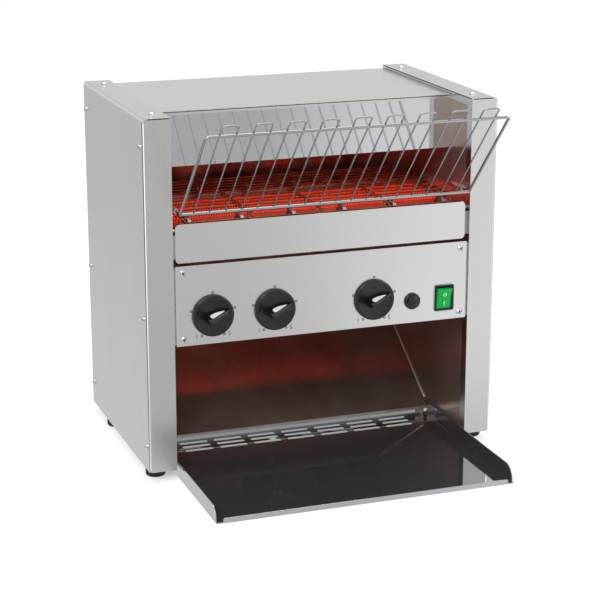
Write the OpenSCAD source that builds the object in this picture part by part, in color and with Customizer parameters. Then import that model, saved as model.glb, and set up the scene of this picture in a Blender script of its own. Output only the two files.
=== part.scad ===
// Conveyor toaster: two folded side casings carry a heated tunnel, a wire belt,
// a loading rack, a control box, a return ramp and a pull-out delivery tray.
// Millimetres. +X is right as seen from the front, the front faces -Y, +Z is up.
// Inside the modules Y = 0 is the front face of the columns and Z = 0 is the
// underside of the casing; home() then puts the origin on the worktop.

/* [Casing] */
// Width across the two side casings
body_w = 440; // [420:1:520]
// Depth from the column faces to the rear flanges
body_d = 282; // [278:1:330]
// Height of the side casings above the feet
body_h = 423; // [418:1:470]
// Width of each front column
column_w = 33.5; // [32:0.5:45]
// Thickness of the casing sheet
sheet = 1.2; // [1:0.1:1.5]
// Thickness of the inner sheets
liner_t = 1; // [0.8:0.1:1.2]
// Thickness of the corner angles
post_t = 1.5; // [1.2:0.1:2]
// Outer radius of the long bend along the top of each side
top_bend = 5; // [3:0.5:8]
// Outer radius of the tight upright bends
side_bend = 2; // [1.6:0.1:3]
// Depth of the folded-down lip of each top strip
top_lip = 10; // [9:1:16]
// Drop of the top panel below the strips
top_drop = 4; // [2:0.5:6]
// Distance of the top panel's front edge behind the columns
top_set_back = 62; // [50:1:80]
// Distance of the mouth's upper edge below the casing's top
mouth_drop = 70; // [61:1:73]

/* [Feet] */
// Height of the rubber feet
foot_h = 12; // [10:0.5:25]
// Diameter of the rubber feet
foot_d = 24; // [18:1:28]
// Distance of the front feet behind the columns
foot_front_y = 25; // [16:1:60]
// Distance of the rear feet behind the columns
foot_rear_y = 212; // [180:1:250]

/* [Front panels] */
// Distance of the control panel's lower edge below the shafts
panel_drop = 130; // [126:1:134]
// Height of the control panel
panel_h = 96.5; // [94:0.5:98]
// Setback of the control panel from the column faces
panel_y = 1; // [0.5:0.5:3]
// Gap at each end of the control panel
panel_gap = 2.5; // [1:0.5:4]
// Thickness of both front panels
panel_t = 1.5; // [1.2:0.1:2]
// Height of the guard plate
guard_h = 46; // [30:1:47]
// Setback of the guard plate from the column faces
guard_y = 4.5; // [3:0.5:4.5]
// Gap at each end of the guard plate
guard_gap = 4; // [2:0.5:8]
// Seam between guard plate and control panel
seam = 2.7; // [1:0.1:4]
// Depth of the control box behind the columns
box_d = 82; // [80:1:95]

/* [Controls] */
// Diameter of the knob skirts
knob_d = 50; // [36:1:52]
// Height of the knobs
knob_h = 24; // [18:1:30]
// Distance of the outer knob from the panel's end
knob_inset = 44.5; // [42:0.5:64]
// Distance between the two heat knobs
knob_pitch = 76.5; // [70:0.5:84]
// Height of the knob centres above the panel's lower edge
knob_rise = 34.5; // [32:0.5:53]
// Gap from a knob's rim to the centres of its dial marks
mark_gap = 2.7; // [2.2:0.1:5]
// Diameter of one dial mark
mark_d = 3.2; // [1.5:0.1:4]
// Diameter of the control spindles
spindle_d = 6; // [5:0.5:6.5]
// Distance of the fuse holder from the panel's end
fuse_inset = 71; // [64:0.5:78]
// Height of the fuse holder above the panel's lower edge
fuse_rise = 27.5; // [22:0.5:32]
// Diameter of the fuse holder's flange
fuse_d = 20.5; // [17:0.5:24]
// Distance of the switch from the panel's end
switch_inset = 29; // [27:0.5:39]
// Height of the switch's centre above the panel's lower edge
switch_rise = 28; // [22:0.5:38]
// Width of the switch's frame
switch_w = 25; // [24:0.5:28]
// Height of the switch's frame
switch_h = 32; // [31:0.5:36]

/* [Belt] */
// Pitch of the belt's cross rods
rod_pitch = 15; // [14.6:0.1:15.4]
// Diameter of the belt's cross rods
rod_d = 2; // [1.4:0.1:2.4]
// Pitches between the two shafts along one run
run_pitches = 12; // [11:1:12]
// Distance of the shafts below the mouth's upper edge
shaft_drop = 71; // [68:0.5:73]
// Distance of the front shaft behind the columns
shaft_y = 30; // [29:0.5:34]
// Diameter of the shafts
shaft_d = 10; // [8:0.5:12]
// Gap between each belt edge and the inner wall
belt_gap = 15; // [12:0.5:20]
// Width of one belt sprocket
sprocket_w = 4; // [3:0.5:6]
// Running clearance on a radius
fit = 0.06; // [0.04:0.01:0.09]

/* [Heaters] */
// Diameter of the quartz tubes
tube_d = 12; // [9:0.5:13]
// Wall of the quartz tubes
tube_wall = 1.2; // [1:0.1:1.6]
// Tubes in each bank
tubes = 4; // [2:1:4]
// Distance between tubes
tube_pitch = 33; // [28:1:34]
// Diameter of the heating coils
coil_d = 5; // [3:0.5:6]
// Height of the top tubes above the mouth's upper edge
tube_rise = 10; // [8:1:12]

/* [Drive] */
// Teeth on the motor sprocket
motor_teeth = 12; // [12, 16]
// Teeth on the shaft sprocket
shaft_teeth = 24; // [20, 24, 28]
// Diameter of the motor can
motor_d = 36; // [28:1:38]
// Length of the motor can
motor_l = 60; // [40:1:75]
// Width of the square gearbox
gearbox_w = 38; // [30:1:40]
// Size of the cooling fan
fan_size = 80; // [60, 70, 80]

/* [Rack] */
// Forward reach of the rack between its two bars
rack_reach = 103; // [60:1:130]
// Rise of the rack between its two bars
rack_rise = 108; // [60:1:130]
// Height of the rack's lower bar above the shafts
rack_over = 30.5; // [28:0.5:34]
// Distance of the lower bar in front of the columns
rack_out = 10; // [7:0.5:16]
// Gap between the rack's side wires and the inner walls
rack_gap = 6.5; // [5.5:0.5:10]
// Diameter of the frame wire
rack_wire = 3.5; // [3:0.5:5]
// Diameter of the loop wire
loop_wire = 2; // [1.5:0.25:3]
// Number of loops
loops = 9; // [5:1:10]
// Height of the loops beyond the upper bar
loop_rise = 15; // [8:1:25]

/* [Ramp and tray] */
// Distance of the ramp's lower edge behind the columns
ramp_y = 112; // [105:1:120]
// Slope of the ramp in degrees
ramp_slope = 33; // [30:0.5:35]
// Reach of the tray in front of the columns
tray_reach = 148; // [90:1:180]
// Gap between the tray and the inner walls
tray_gap = 2.5; // [1.5:0.5:5]
// Height of the tray's side walls
tray_wall_h = 19; // [12:1:26]
// Radius of the side walls' front corners
tray_round = 17; // [8:1:18]
// Height of the tray's front lip
tray_lip_h = 6.2; // [4:0.2:8]
// Gap between the tray's floor and the worktop
tray_lift = 0.5; // [0.3:0.1:1]

/* [Hidden] */
$fn = 48;

// ---- derived sizes ----
mark_ring = knob_d / 2 + mark_gap;
mouth_top = body_h - mouth_drop;
shaft_z = mouth_top - shaft_drop;
panel_z = shaft_z - panel_drop;
rack_z = shaft_z + rack_over;
knob_z = panel_z + knob_rise;
fuse_z = panel_z + fuse_rise;
switch_z = panel_z + switch_rise;
xo = body_w / 2;
xi = xo - column_w;
cavity_x = xo - sheet - post_t;
rear_y = body_d - 2 * sheet;
post_rear_y = rear_y - post_t;
gland_out = 18;
front_y = -(body_d + gland_out - tray_reach) / 2;
return_d = 14;
wall_y0 = return_d + 0.5;
wall_z0 = 3;
wall_z1 = body_h - top_lip - 0.5;
screw_d = 4;
head_d = 7.2;
head_h = 2.4;
side_screw_y = 11;
side_screw_z = [30, body_h / 2 - 24.5, body_h - 33];
top_screw_x = xo - 19.2;
top_screw_y = [31, body_d - 29];
rear_screw_z = [40, body_h / 2 - 6.5, body_h - 40];
rear_screw_x = xo - 9;

// belt: the rods lie on a racetrack of radius belt_r round both shafts
belt_teeth = 8;
belt_r = belt_teeth * rod_pitch / (2 * PI);
shaft_gap = run_pitches * rod_pitch;
rear_shaft_y = shaft_y + shaft_gap;
rods = 2 * run_pitches + belt_teeth;
belt_x = xi - belt_gap;
sprocket_x = [for (k = [-5 : 2 : 5]) k * (belt_x - 11) / 5];
band_x = [-belt_x, -belt_x / 2, 0, belt_x / 2, belt_x];
band_w = 1.4;

// heaters
tube_y0 = shaft_y + shaft_gap / 2 - (tubes - 1) * tube_pitch / 2;
tube_y = [for (k = [0 : tubes - 1]) tube_y0 + k * tube_pitch];
top_tube_z = mouth_top + tube_rise;
ceiling_z = top_tube_z + tube_d / 2 + 5;
top_tube_y = [for (k = [0 : tubes - 1]) top_set_back + 26 + k * tube_pitch];
tube_x = xi + 9;
bush_d = shaft_d + 6;

// chain: pitch circles follow arc length, and the motor is moved along its
// line of centres until the chain closes on a whole, even number of links
chain_pitch = 6.35;
r_motor = motor_teeth * chain_pitch / (2 * PI);
r_shaft = shaft_teeth * chain_pitch / (2 * PI);
motor_y0 = box_d - 26;
motor_z0 = panel_z + panel_h - 30;
chain_a0 = atan2(shaft_z - motor_z0, rear_shaft_y - motor_y0);
chain_d0 = norm([shaft_z - motor_z0, rear_shaft_y - motor_y0]);
function lean(d) = asin((r_shaft - r_motor) / d);
function chain_len(d) = 2 * d * cos(lean(d))
    + PI * (r_shaft + r_motor) + PI / 90 * lean(d) * (r_shaft - r_motor);
links = 2 * round(chain_len(chain_d0) / chain_pitch / 2);
function settle(d, n) = n == 0 ? d
    : settle(d + (links * chain_pitch - chain_len(d)) / 2, n - 1);
chain_d = settle(chain_d0, 6);
motor_y = rear_shaft_y - chain_d * cos(chain_a0);
motor_z = shaft_z - chain_d * sin(chain_a0);
chain_lean = lean(chain_d);
chain_run = chain_d * cos(chain_lean);
arc_shaft = r_shaft * (180 + 2 * chain_lean) * PI / 180;
chain_x = xo - sheet - 8;
chain_w = 3;

// front panels
guard_z = panel_z + panel_h + seam;
box_z0 = panel_z + panel_t + 0.2;
box_z1 = panel_z + panel_h - panel_t - 0.2;
box_y = panel_y + panel_t;
panel_x = xi - panel_gap;
knob_x_outer = panel_x - knob_inset;
knob_x_inner = knob_x_outer - knob_pitch;
fuse_x = panel_x - fuse_inset;
switch_x = panel_x - switch_inset;
panel_screw_x = panel_x - 8.5;
panel_screw_z = [panel_z + 8.4, panel_z + panel_h - 8];
rocker_w = switch_w - 6.4;
rocker_h = switch_h - 6.6;
rocker_tip = 10;
pivot_back = 4;
pivot_y = panel_y - 0.4 + pivot_back;

// rack
rack_len = norm([rack_reach, rack_rise]);
rack_tilt = atan2(rack_reach, rack_rise);
rack_x = xi - rack_gap;
loop_inset = 16.4;
loop_step = 2 * (rack_x - loop_inset) / (2 * loops - 1);
loop_bend = 4;
loop_off = (rack_wire + loop_wire) / 2 - 0.4;
prong_end = 36;
prong_d = rack_wire - 0.2;
socket_y = 8;

// ramp and tray
ramp_rear_y = rear_y - 3;
tray_x = xi - tray_gap;
tray_z = -foot_h + tray_lift;
tray_front = -tray_reach;
tray_rear = ramp_y + 10;
tray_t = 1.2;
fan_z = fan_size / 2 + 5;
fan_d = 25;
fan_y0 = rear_y - fan_d;

// ---- helpers ----
module home() { translate([0, front_y, foot_h]) children(); }
module both() { children(); mirror([1, 0, 0]) children(); }
module slab(a, b) { translate(a) cube(b - a); }
// profile drawn in Y and Z, extruded along X
module along_x(x0, x1) {
    translate([x0, 0, 0]) rotate([90, 0, 90]) linear_extrude(x1 - x0) children();
}
// profile drawn in X and Z, extruded along Y
module along_y(y0, y1) {
    translate([0, y1, 0]) rotate([90, 0, 0]) linear_extrude(y1 - y0) children();
}
module rod_x(x0, x1, y, z, d) {
    translate([x0, y, z]) rotate([0, 90, 0]) cylinder(h = x1 - x0, d = d);
}
module rod_y(y0, y1, x, z, d) {
    translate([x, y0, z]) rotate([-90, 0, 0]) cylinder(h = y1 - y0, d = d);
}
module round_square(w, h, r) {
    translate([-w / 2, -h / 2 + r]) square([w, h - 2 * r]);
    translate([-w / 2 + r, -h / 2]) square([w - 2 * r, h]);
    for (x = [-1, 1], y = [-1, 1])
        translate([x * (w / 2 - r), y * (h / 2 - r)]) circle(r);
}
// pan-head screw along -Z, its head standing on Z = 0
module pan_screw(l) {
    difference() {
        union() {
            cylinder(h = head_h / 2, d = head_d);
            translate([0, 0, head_h / 2]) cylinder(h = head_h / 2, d1 = head_d, d2 = head_d * 0.62);
        }
        for (a = [20, 110]) rotate(a) translate([-2.2, -0.55, head_h - 1.7]) cube([4.4, 1.1, 3]);
    }
    translate([0, 0, -l]) cylinder(h = l, d = screw_d);
}
module side_screw_at() {
    for (y = [side_screw_y, body_d - side_screw_y], z = side_screw_z)
        translate([xo, y, z]) rotate([0, 90, 0]) children();
}
module top_screw_at() {
    for (y = top_screw_y) translate([top_screw_x, y, body_h]) children();
}
module rear_screw_at() {
    for (z = rear_screw_z) translate([rear_screw_x, body_d, z]) rotate([-90, 0, 0]) children();
}
module foot_at() {
    for (y = [foot_front_y, foot_rear_y]) translate([xo - foot_d / 2 - 1.5, y, 0]) children();
}
module panel_screw_at() {
    for (x = [-1, 1], z = panel_screw_z)
        translate([x * panel_screw_x, panel_y, z]) rotate([90, 0, 0]) children();
}
module control_at(x, z) { translate([x, panel_y, z]) rotate([90, 0, 0]) children(); }

// ---- casing ----
module casing_plan(inset, r) {
    translate([xi, inset + r]) square([column_w - inset, body_d - 2 * inset - 2 * r]);
    translate([xi, inset]) square([column_w - inset - r, body_d - 2 * inset]);
    for (y = [inset + r, body_d - inset - r]) translate([xo - inset - r, y]) circle(r);
}
module casing_section(inset, r) {
    translate([xi, inset]) square([column_w - inset, body_h - 2 * inset - r]);
    translate([xi, body_h - inset - r - 1]) square([column_w - inset - r, r + 1]);
    translate([xo - inset - r, body_h - inset - r]) circle(r);
}
module casing_block(inset, upright_r, top_r) {
    intersection() {
        linear_extrude(body_h) casing_plan(inset, upright_r);
        along_y(0, body_d) casing_section(inset, top_r);
    }
}
module side_casing() {
    difference() {
        casing_block(0, side_bend, top_bend);
        difference() {
            casing_block(sheet, side_bend - sheet, top_bend - sheet);
            slab([xi - 1, 0, 0], [xi + sheet, return_d, body_h]);
            slab([xi - 1, 0, body_h - top_lip], [xi + sheet, body_d, body_h]);
        }
        slab([xi - 1, body_d - sheet - 0.1, sheet], [xo - 18, body_d + 1, body_h - top_lip]);
        slab([xo - 2.4, -1, -1], [xo + 1, 2.4, 2]);
        side_screw_at() cylinder(h = 10, d = screw_d + 0.2, center = true);
        top_screw_at() cylinder(h = 10, d = screw_d + 0.2, center = true);
        rear_screw_at() cylinder(h = 10, d = screw_d + 0.2, center = true);
        foot_at() cylinder(h = 10, d = screw_d + 0.2, center = true);
    }
}
module side_casing_right() { color("gainsboro") home() side_casing(); }
module side_casing_left() { color("gainsboro") home() mirror([1, 0, 0]) side_casing(); }

module corner_posts() {
    z1 = body_h - sheet - top_bend;
    x0 = xi + sheet + 1;
    color("darkgray") home() both() {
        difference() {
            union() {
                slab([cavity_x, side_bend + 0.2, sheet], [xo - sheet - 0.02, 24, z1]);
                slab([x0, sheet, sheet], [xo - sheet - 1, sheet + post_t, z1]);
                slab([x0, sheet, z1 - 1], [xo - sheet - top_bend, sheet + post_t, body_h - sheet]);
                slab([x0, sheet, body_h - sheet - post_t],
                    [xo - sheet - top_bend, top_screw_y[0] + 9, body_h - sheet]);
            }
            side_screw_at() cylinder(h = 10, d = screw_d, center = true);
            top_screw_at() cylinder(h = 10, d = screw_d, center = true);
        }
        difference() {
            union() {
                slab([cavity_x, body_d - 24, 2 * sheet], [xo - sheet - 0.02, rear_y, z1]);
                slab([x0, post_rear_y, 2 * sheet], [xo - sheet - 1, rear_y, z1]);
                slab([x0, post_rear_y, z1 - 1],
                    [xo - sheet - top_bend, rear_y, body_h - sheet]);
                slab([x0, top_screw_y[1] - 9, body_h - sheet - post_t],
                    [xo - sheet - top_bend, rear_y, body_h - sheet]);
            }
            side_screw_at() cylinder(h = 10, d = screw_d, center = true);
            top_screw_at() cylinder(h = 10, d = screw_d, center = true);
            rear_screw_at() cylinder(h = 20, d = screw_d, center = true);
        }
    }
}

module top_panel() {
    x = xi - 0.8;
    z1 = body_h - top_drop;
    y1 = rear_y - 0.3;
    color("lightgray") home() {
        difference() {
            slab([-x, top_set_back, z1 - 12], [x, y1, z1]);
            slab([-x + sheet, top_set_back + sheet, z1 - 20], [x - sheet, y1 - sheet, z1 - sheet]);
            slab([-x - 1, top_set_back - 1, z1 - 20], [x + 1, top_set_back + sheet + 2, z1 - 5]);
            slab([-x - 1, top_set_back + sheet, z1 - 20], [x + 1, top_set_back + sheet + 2, z1 - sheet]);
        }
    }
}

module rear_panel() {
    x = xo - sheet - 0.4;
    color("silver") home() difference() {
        slab([-x, rear_y, 2 * sheet], [x, body_d - sheet, body_h - top_lip - 2]);
        for (r = [0 : 6], c = [-3 : 3])
            translate([c * 44, 0, body_h - 60 - r * 12])
                along_y(rear_y - 1, body_d) round_square(34, 5, 2.4);
        for (r = [0 : 2], c = [-3, -2, 2, 3])
            translate([c * 44, 0, 60 + r * 12])
                along_y(rear_y - 1, body_d) round_square(34, 5, 2.4);
        rod_y(rear_y - 1, body_d, 0, fan_z, fan_size - 3);
        rod_y(rear_y - 1, body_d, -gland_x, gland_z, gland_d + 0.2);
        for (x = [-1, 1], z = [-1, 1])
            rod_y(rear_y - 1, body_d, x * fan_hole, fan_z + z * fan_hole, 4.3);
        both() rear_screw_at() cylinder(h = 10, d = screw_d + 0.2, center = true);
    }
}
gland_x = xi - 36.5;
gland_z = 34;
gland_d = 16;
fan_hole = fan_size / 2 - 4.25;

module base_pan() {
    x = cavity_x - 0.5;
    y0 = tray_rear + 4;
    color("silver") home() difference() {
        union() {
            slab([-x, y0, sheet], [x, rear_y - 0.1, 2 * sheet]);
            slab([-xi + 2, y0, -foot_h + 4], [xi - 2, y0 + sheet, 2 * sheet]);
        }
        for (c = [-3 : 3], r = [0 : 3])
            translate([c * 44, y0 + 30 + r * 13, 0]) linear_extrude(10) round_square(34, 5, 2.4);
        both() foot_at() cylinder(h = 20, d = head_d + 2, center = true);
        both() slab([cavity_x - 3, body_d - 27, 0], [xo, body_d, 5]);
    }
}

module rubber_feet() {
    r = foot_d / 2;
    color("black") home() both() foot_at() translate([0, 0, -foot_h]) difference() {
        rotate_extrude() {
            square([r - 3, foot_h]);
            translate([0, 3]) square([r, foot_h - 3]);
            translate([r - 3, 3]) circle(3);
        }
        cylinder(h = 3 * foot_h, d = screw_d + 0.2, center = true);
        translate([0, 0, -1]) cylinder(h = foot_h / 2 + 1, d = head_d + 1.4);
    }
}

module casing_screws() {
    color("silver") home() both() {
        side_screw_at() pan_screw(5);
        top_screw_at() pan_screw(6);
        rear_screw_at() pan_screw(6);
        foot_at() translate([0, 0, -foot_h / 2]) rotate([180, 0, 0]) pan_screw(foot_h / 2 + 4);
    }
}

// ---- inner walls ----
module inner_wall(motor_side) {
    difference() {
        union() {
            slab([xi, wall_y0, wall_z0], [xi + liner_t, post_rear_y, wall_z1]);
            slab([xi, wall_y0, wall_z0], [cavity_x, wall_y0 + liner_t, wall_z1]);
            slab([xi, post_rear_y - liner_t, wall_z0], [cavity_x, post_rear_y, wall_z1]);
        }
        for (y = [shaft_y, rear_shaft_y]) rod_x(xi - 1, xi + 5, y, shaft_z, bush_d);
        tube_places() rod_x(xi - 1, xi + 5, 0, 0, tube_d + 1);
        if (motor_side) rod_x(xi - 1, xi + 5, motor_y, motor_z, gearbox_w * 0.45 + 1);
        rear_screw_at() cylinder(h = 20, d = screw_d + 0.2, center = true);
    }
}
module inner_wall_right() { color("lightsteelblue") home() inner_wall(true); }
module inner_wall_left() { color("lightsteelblue") home() mirror([1, 0, 0]) inner_wall(false); }

module hood_plate() {
    y = top_set_back + sheet;
    z1 = body_h - top_drop - sheet;
    x1 = xi - 3;
    color("lightsteelblue") home() {
        slab([-xi, y, mouth_top], [xi, y + liner_t, z1]);
        slab([-xi, y, mouth_top], [xi, y + 11, mouth_top + liner_t]);
        slab([-xi, y + 11 - liner_t, mouth_top], [xi, y + 11, mouth_top + 6]);
        slab([-x1, y, z1 - liner_t], [x1, y + 14, z1]);
    }
}
module top_reflector() {
    y0 = top_set_back + 16;
    y1 = rear_shaft_y + 14;
    color("silver") home() {
        slab([-xi, y0, ceiling_z], [xi, y1, ceiling_z + liner_t]);
        slab([-xi, y0, ceiling_z], [xi, y0 + liner_t, ceiling_z + 9]);
        for (y = top_tube_y) along_x(-xi + 6, xi - 6) translate([y + tube_pitch / 2, ceiling_z + liner_t])
            polygon([[-3, -0.1], [3, -0.1], [0, 2]]);
    }
}
module bottom_reflector() {
    z = shaft_z - belt_r + rod_d / 2 + 3;
    y0 = tube_y[0] - 11;
    y1 = tube_y[tubes - 1] + 11;
    color("silver") home() {
        slab([-xi, y0, z], [xi, y1, z + liner_t]);
        slab([-xi, y0, z], [xi, y0 + liner_t, z + 7]);
        slab([-xi, y1 - liner_t, z], [xi, y1, z + 7]);
    }
}
module rear_guide() {
    y1 = post_rear_y - liner_t - 0.5;
    y0 = rear_shaft_y + 14;
    r = y1 - y0;
    zc = ceiling_z + liner_t - r;
    color("silver") home() {
        along_x(-xi, xi) {
            intersection() {
                difference() {
                    translate([y0, zc]) circle(r);
                    translate([y0, zc]) circle(r - liner_t);
                }
                translate([y0, zc]) square([r, r]);
            }
            translate([y1 - liner_t, ramp_top_z + 6]) square([liner_t, zc - ramp_top_z - 6]);
        }
    }
}
module insulation_pad() {
    color("beige") home()
        slab([-xi + 4, top_set_back + 22, ceiling_z + 10], [xi - 4, rear_shaft_y + 12, body_h - 20]);
}

// ---- heaters ----
module tube_places() {
    for (y = tube_y) translate([0, y, shaft_z]) children();
    for (y = top_tube_y) translate([0, y, top_tube_z]) children();
}
module quartz_tubes() {
    color("mistyrose") home() tube_places() difference() {
        rod_x(-tube_x, tube_x, 0, 0, tube_d);
        rod_x(-tube_x - 1, tube_x + 1, 0, 0, tube_d - 2 * tube_wall);
    }
}
module heating_coils() {
    color("orangered") home() tube_places()
        rod_x(-tube_x, tube_x, 0, 0, coil_d);
}
module ceramic_caps() {
    x0 = xi + liner_t;
    color("ivory") home() both() tube_places() {
        difference() {
            union() {
                rod_x(x0, x0 + 3, 0, 0, tube_d + 8);
                rod_x(x0, tube_x + 5, 0, 0, tube_d + 4);
            }
            rod_x(x0 - 1, tube_x, 0, 0, tube_d);
            rod_x(x0, tube_x + 6, 0, 0, 2.5);
        }
        rod_x(tube_x, tube_x + 9, 0, 0, 2.5);
    }
}

// ---- belt and shafts ----
// place n of the belt's racetrack as [y, z]; it starts at the top of the rear shaft
function track(s) = s < shaft_gap ? [rear_shaft_y - s, shaft_z + belt_r]
    : s < shaft_gap + PI * belt_r ? [shaft_y, shaft_z]
        + belt_r * [-sin((s - shaft_gap) / belt_r * 180 / PI), cos((s - shaft_gap) / belt_r * 180 / PI)]
    : s < 2 * shaft_gap + PI * belt_r ? [shaft_y + s - shaft_gap - PI * belt_r, shaft_z - belt_r]
    : [rear_shaft_y, shaft_z] + belt_r * [sin((s - 2 * shaft_gap - PI * belt_r) / belt_r * 180 / PI),
        -cos((s - 2 * shaft_gap - PI * belt_r) / belt_r * 180 / PI)];
module racetrack(r) {
    translate([shaft_y, shaft_z]) circle(r);
    translate([rear_shaft_y, shaft_z]) circle(r);
    translate([shaft_y, shaft_z - r]) square([shaft_gap, 2 * r]);
}
module conveyor_belt() {
    color("peru") home() {
        for (k = [0 : rods - 1]) {
            p = track(k * rod_pitch);
            translate([0, p[0], p[1]]) rotate([0, 90, 0])
                cylinder(h = 2 * belt_x, d = rod_d, center = true, $fn = 16);
        }
        for (x = band_x) along_x(x - band_w / 2, x + band_w / 2) difference() {
            racetrack(belt_r + 0.7);
            racetrack(belt_r - 0.7);
        }
    }
}
module belt_sprocket(x, y) {
    gap = rod_d + 1.2;
    reach = belt_r - rod_d / 2 - 0.35;
    translate([x - sprocket_w / 2, y, shaft_z]) rotate([90, 0, 90]) difference() {
        union() {
            linear_extrude(sprocket_w) difference() {
                circle(reach);
                for (k = [0 : belt_teeth - 1]) rotate(90 + k * 360 / belt_teeth)
                    translate([reach + 0.3, 0]) circle(d = gap + 1.4);
                for (k = [0 : 3]) rotate(45 + k * 90) translate([belt_r * 0.58, 0]) circle(2.6);
            }
            translate([0, 0, -1.5]) cylinder(h = sprocket_w + 3, d = shaft_d + 6);
        }
        translate([0, 0, -5]) cylinder(h = sprocket_w + 10, d = shaft_d);
    }
}
module front_belt_sprockets() {
    color("dimgray") home() for (x = sprocket_x) belt_sprocket(x, shaft_y);
}
module rear_belt_sprockets() {
    color("dimgray") home() for (x = sprocket_x) belt_sprocket(x, rear_shaft_y);
}
module front_shaft() {
    color("gray") home() rod_x(-xi - 9, xi + 9, shaft_y, shaft_z, shaft_d);
}
module rear_shaft() {
    color("gray") home() rod_x(-xi - 9, chain_x + chain_w / 2 + 1.5, rear_shaft_y, shaft_z, shaft_d);
}
module shaft_bushes() {
    x1 = xi + liner_t;
    color("darkgoldenrod") home() both() for (y = [shaft_y, rear_shaft_y]) difference() {
        union() {
            rod_x(xi - 1.5, x1 + 6, y, shaft_z, bush_d);
            rod_x(x1, x1 + 2, y, shaft_z, bush_d + 6);
        }
        rod_x(xi - 5, x1 + 10, y, shaft_z, shaft_d + 2 * fit);
    }
}

// ---- drive ----
// distance s along the chain gives [y, z]; it starts where the upper run leaves the shaft sprocket
up_n = [-sin(chain_a0 + chain_lean), cos(chain_a0 + chain_lean)];
low_n = [sin(chain_a0 - chain_lean), -cos(chain_a0 - chain_lean)];
shaft_c = [rear_shaft_y, shaft_z];
motor_c = [motor_y, motor_z];
run_up = [-cos(chain_a0 + chain_lean), -sin(chain_a0 + chain_lean)];
run_low = [cos(chain_a0 - chain_lean), sin(chain_a0 - chain_lean)];
arc_motor = links * chain_pitch - 2 * chain_run - arc_shaft;
a_up = 90 + chain_a0 + chain_lean;
a_low = 270 + chain_a0 - chain_lean;
function on_arc(c, r, a) = c + r * [cos(a), sin(a)];
function chain_at(s) = s < chain_run ? shaft_c + r_shaft * up_n + s * run_up
    : s < chain_run + arc_motor ? on_arc(motor_c, r_motor, a_up + (s - chain_run) / r_motor * 180 / PI)
    : s < 2 * chain_run + arc_motor
        ? motor_c + r_motor * low_n + (s - chain_run - arc_motor) * run_low
    : on_arc(shaft_c, r_shaft, a_low + (s - 2 * chain_run - arc_motor) / r_shaft * 180 / PI);
module chain_outline(g) {
    a = shaft_c + (r_shaft + g) * up_n;
    b = motor_c + (r_motor + g) * up_n;
    c = motor_c + (r_motor + g) * low_n;
    d = shaft_c + (r_shaft + g) * low_n;
    translate(shaft_c) circle(r_shaft + g);
    translate(motor_c) circle(r_motor + g);
    polygon([a, b, c, d]);
}
module drive_chain() {
    color("slategray") home() {
        for (x = [chain_x - chain_w / 2 - 0.9, chain_x + chain_w / 2])
            along_x(x, x + 0.9) difference() {
                chain_outline(2.4);
                chain_outline(-2.4);
            }
        for (k = [0 : links - 1]) {
            p = chain_at(k * chain_pitch);
            translate([chain_x, p[0], p[1]]) rotate([0, 90, 0])
                cylinder(h = chain_w + 0.4, d = 3.2, center = true, $fn = 16);
        }
    }
}
// toothed wheel in the Y-Z plane with a gap at angle a; it ends just under the chain's rollers
module chain_wheel(c, r, teeth, a, bore, hub) {
    translate([chain_x, c[0], c[1]]) rotate([90, 0, 90]) difference() {
        union() {
            translate([0, 0, -1.2]) linear_extrude(2.4) difference() {
                circle(r - 1.95);
                for (k = [0 : teeth - 1]) rotate(a + k * 360 / teeth)
                    translate([r - 1.7, 0]) circle(d = 3.7);
            }
            translate([0, 0, -chain_w / 2 - 4]) cylinder(h = chain_w / 2 + 4, d = hub);
        }
        translate([0, 0, -20]) cylinder(h = 40, d = bore);
    }
}
first_motor = ceil(chain_run / chain_pitch) * chain_pitch;
first_shaft = ceil((2 * chain_run + arc_motor) / chain_pitch) * chain_pitch;
gap_motor = a_up + (first_motor - chain_run) / r_motor * 180 / PI;
gap_shaft = a_low + (first_shaft - 2 * chain_run - arc_motor) / r_shaft * 180 / PI;
output_d = 6;
module shaft_sprocket() {
    color("gray") home() chain_wheel(shaft_c, r_shaft, shaft_teeth, gap_shaft, shaft_d, shaft_d + 6);
}
module motor_sprocket() {
    color("gray") home() chain_wheel(motor_c, r_motor, motor_teeth, gap_motor, output_d, output_d + 6);
}
module motor_output_shaft() {
    color("gray") home() rod_x(xi - 10, chain_x + chain_w / 2 + 1.5, motor_y, motor_z, output_d);
}
module gearbox() {
    x1 = xi - sheet - 0.8;
    w = gearbox_w;
    color("slategray") home() difference() {
        union() {
            slab([x1 - w, motor_y - w / 2, motor_z - w / 2], [x1, motor_y + w / 2, motor_z + w / 2]);
            rod_x(x1, xi + liner_t + 3, motor_y, motor_z, w * 0.45);
        }
        rod_x(xi - 10.5, xi + 20, motor_y, motor_z, output_d + 2 * fit);
        for (y = [-1, 1], z = [-1, 1])
            rod_x(x1 - 8, x1 + 1, motor_y + y * (w / 2 - 4), motor_z + z * (w / 2 - 4), 3);
    }
}
module motor() {
    x1 = xi - sheet - 0.8 - gearbox_w;
    color("silver") home() {
        rod_x(x1 - motor_l, x1, motor_y, motor_z, motor_d);
        rod_x(x1 - motor_l - 3, x1 - motor_l, motor_y, motor_z, 13);
        for (z = [-1, 1]) slab([x1 - motor_l - 7, motor_y - 2.5, motor_z + z * 10 - 0.4],
            [x1 - motor_l, motor_y + 2.5, motor_z + z * 10 + 0.4]);
    }
}
module motor_bracket() {
    w = gearbox_w;
    x0 = xi - sheet - 0.8;
    color("darkgray") home() difference() {
        slab([x0, motor_y - w / 2 - 4, motor_z - w / 2 - 2], [xi, box_d - sheet, motor_z + w / 2 + 2]);
        rod_x(xi - 10, xi + 20, motor_y, motor_z, w * 0.45);
        for (y = [-1, 1], z = [-1, 1])
            rod_x(x0 - 1, xi + 1, motor_y + y * (w / 2 - 4), motor_z + z * (w / 2 - 4), 3.2);
    }
}

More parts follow.
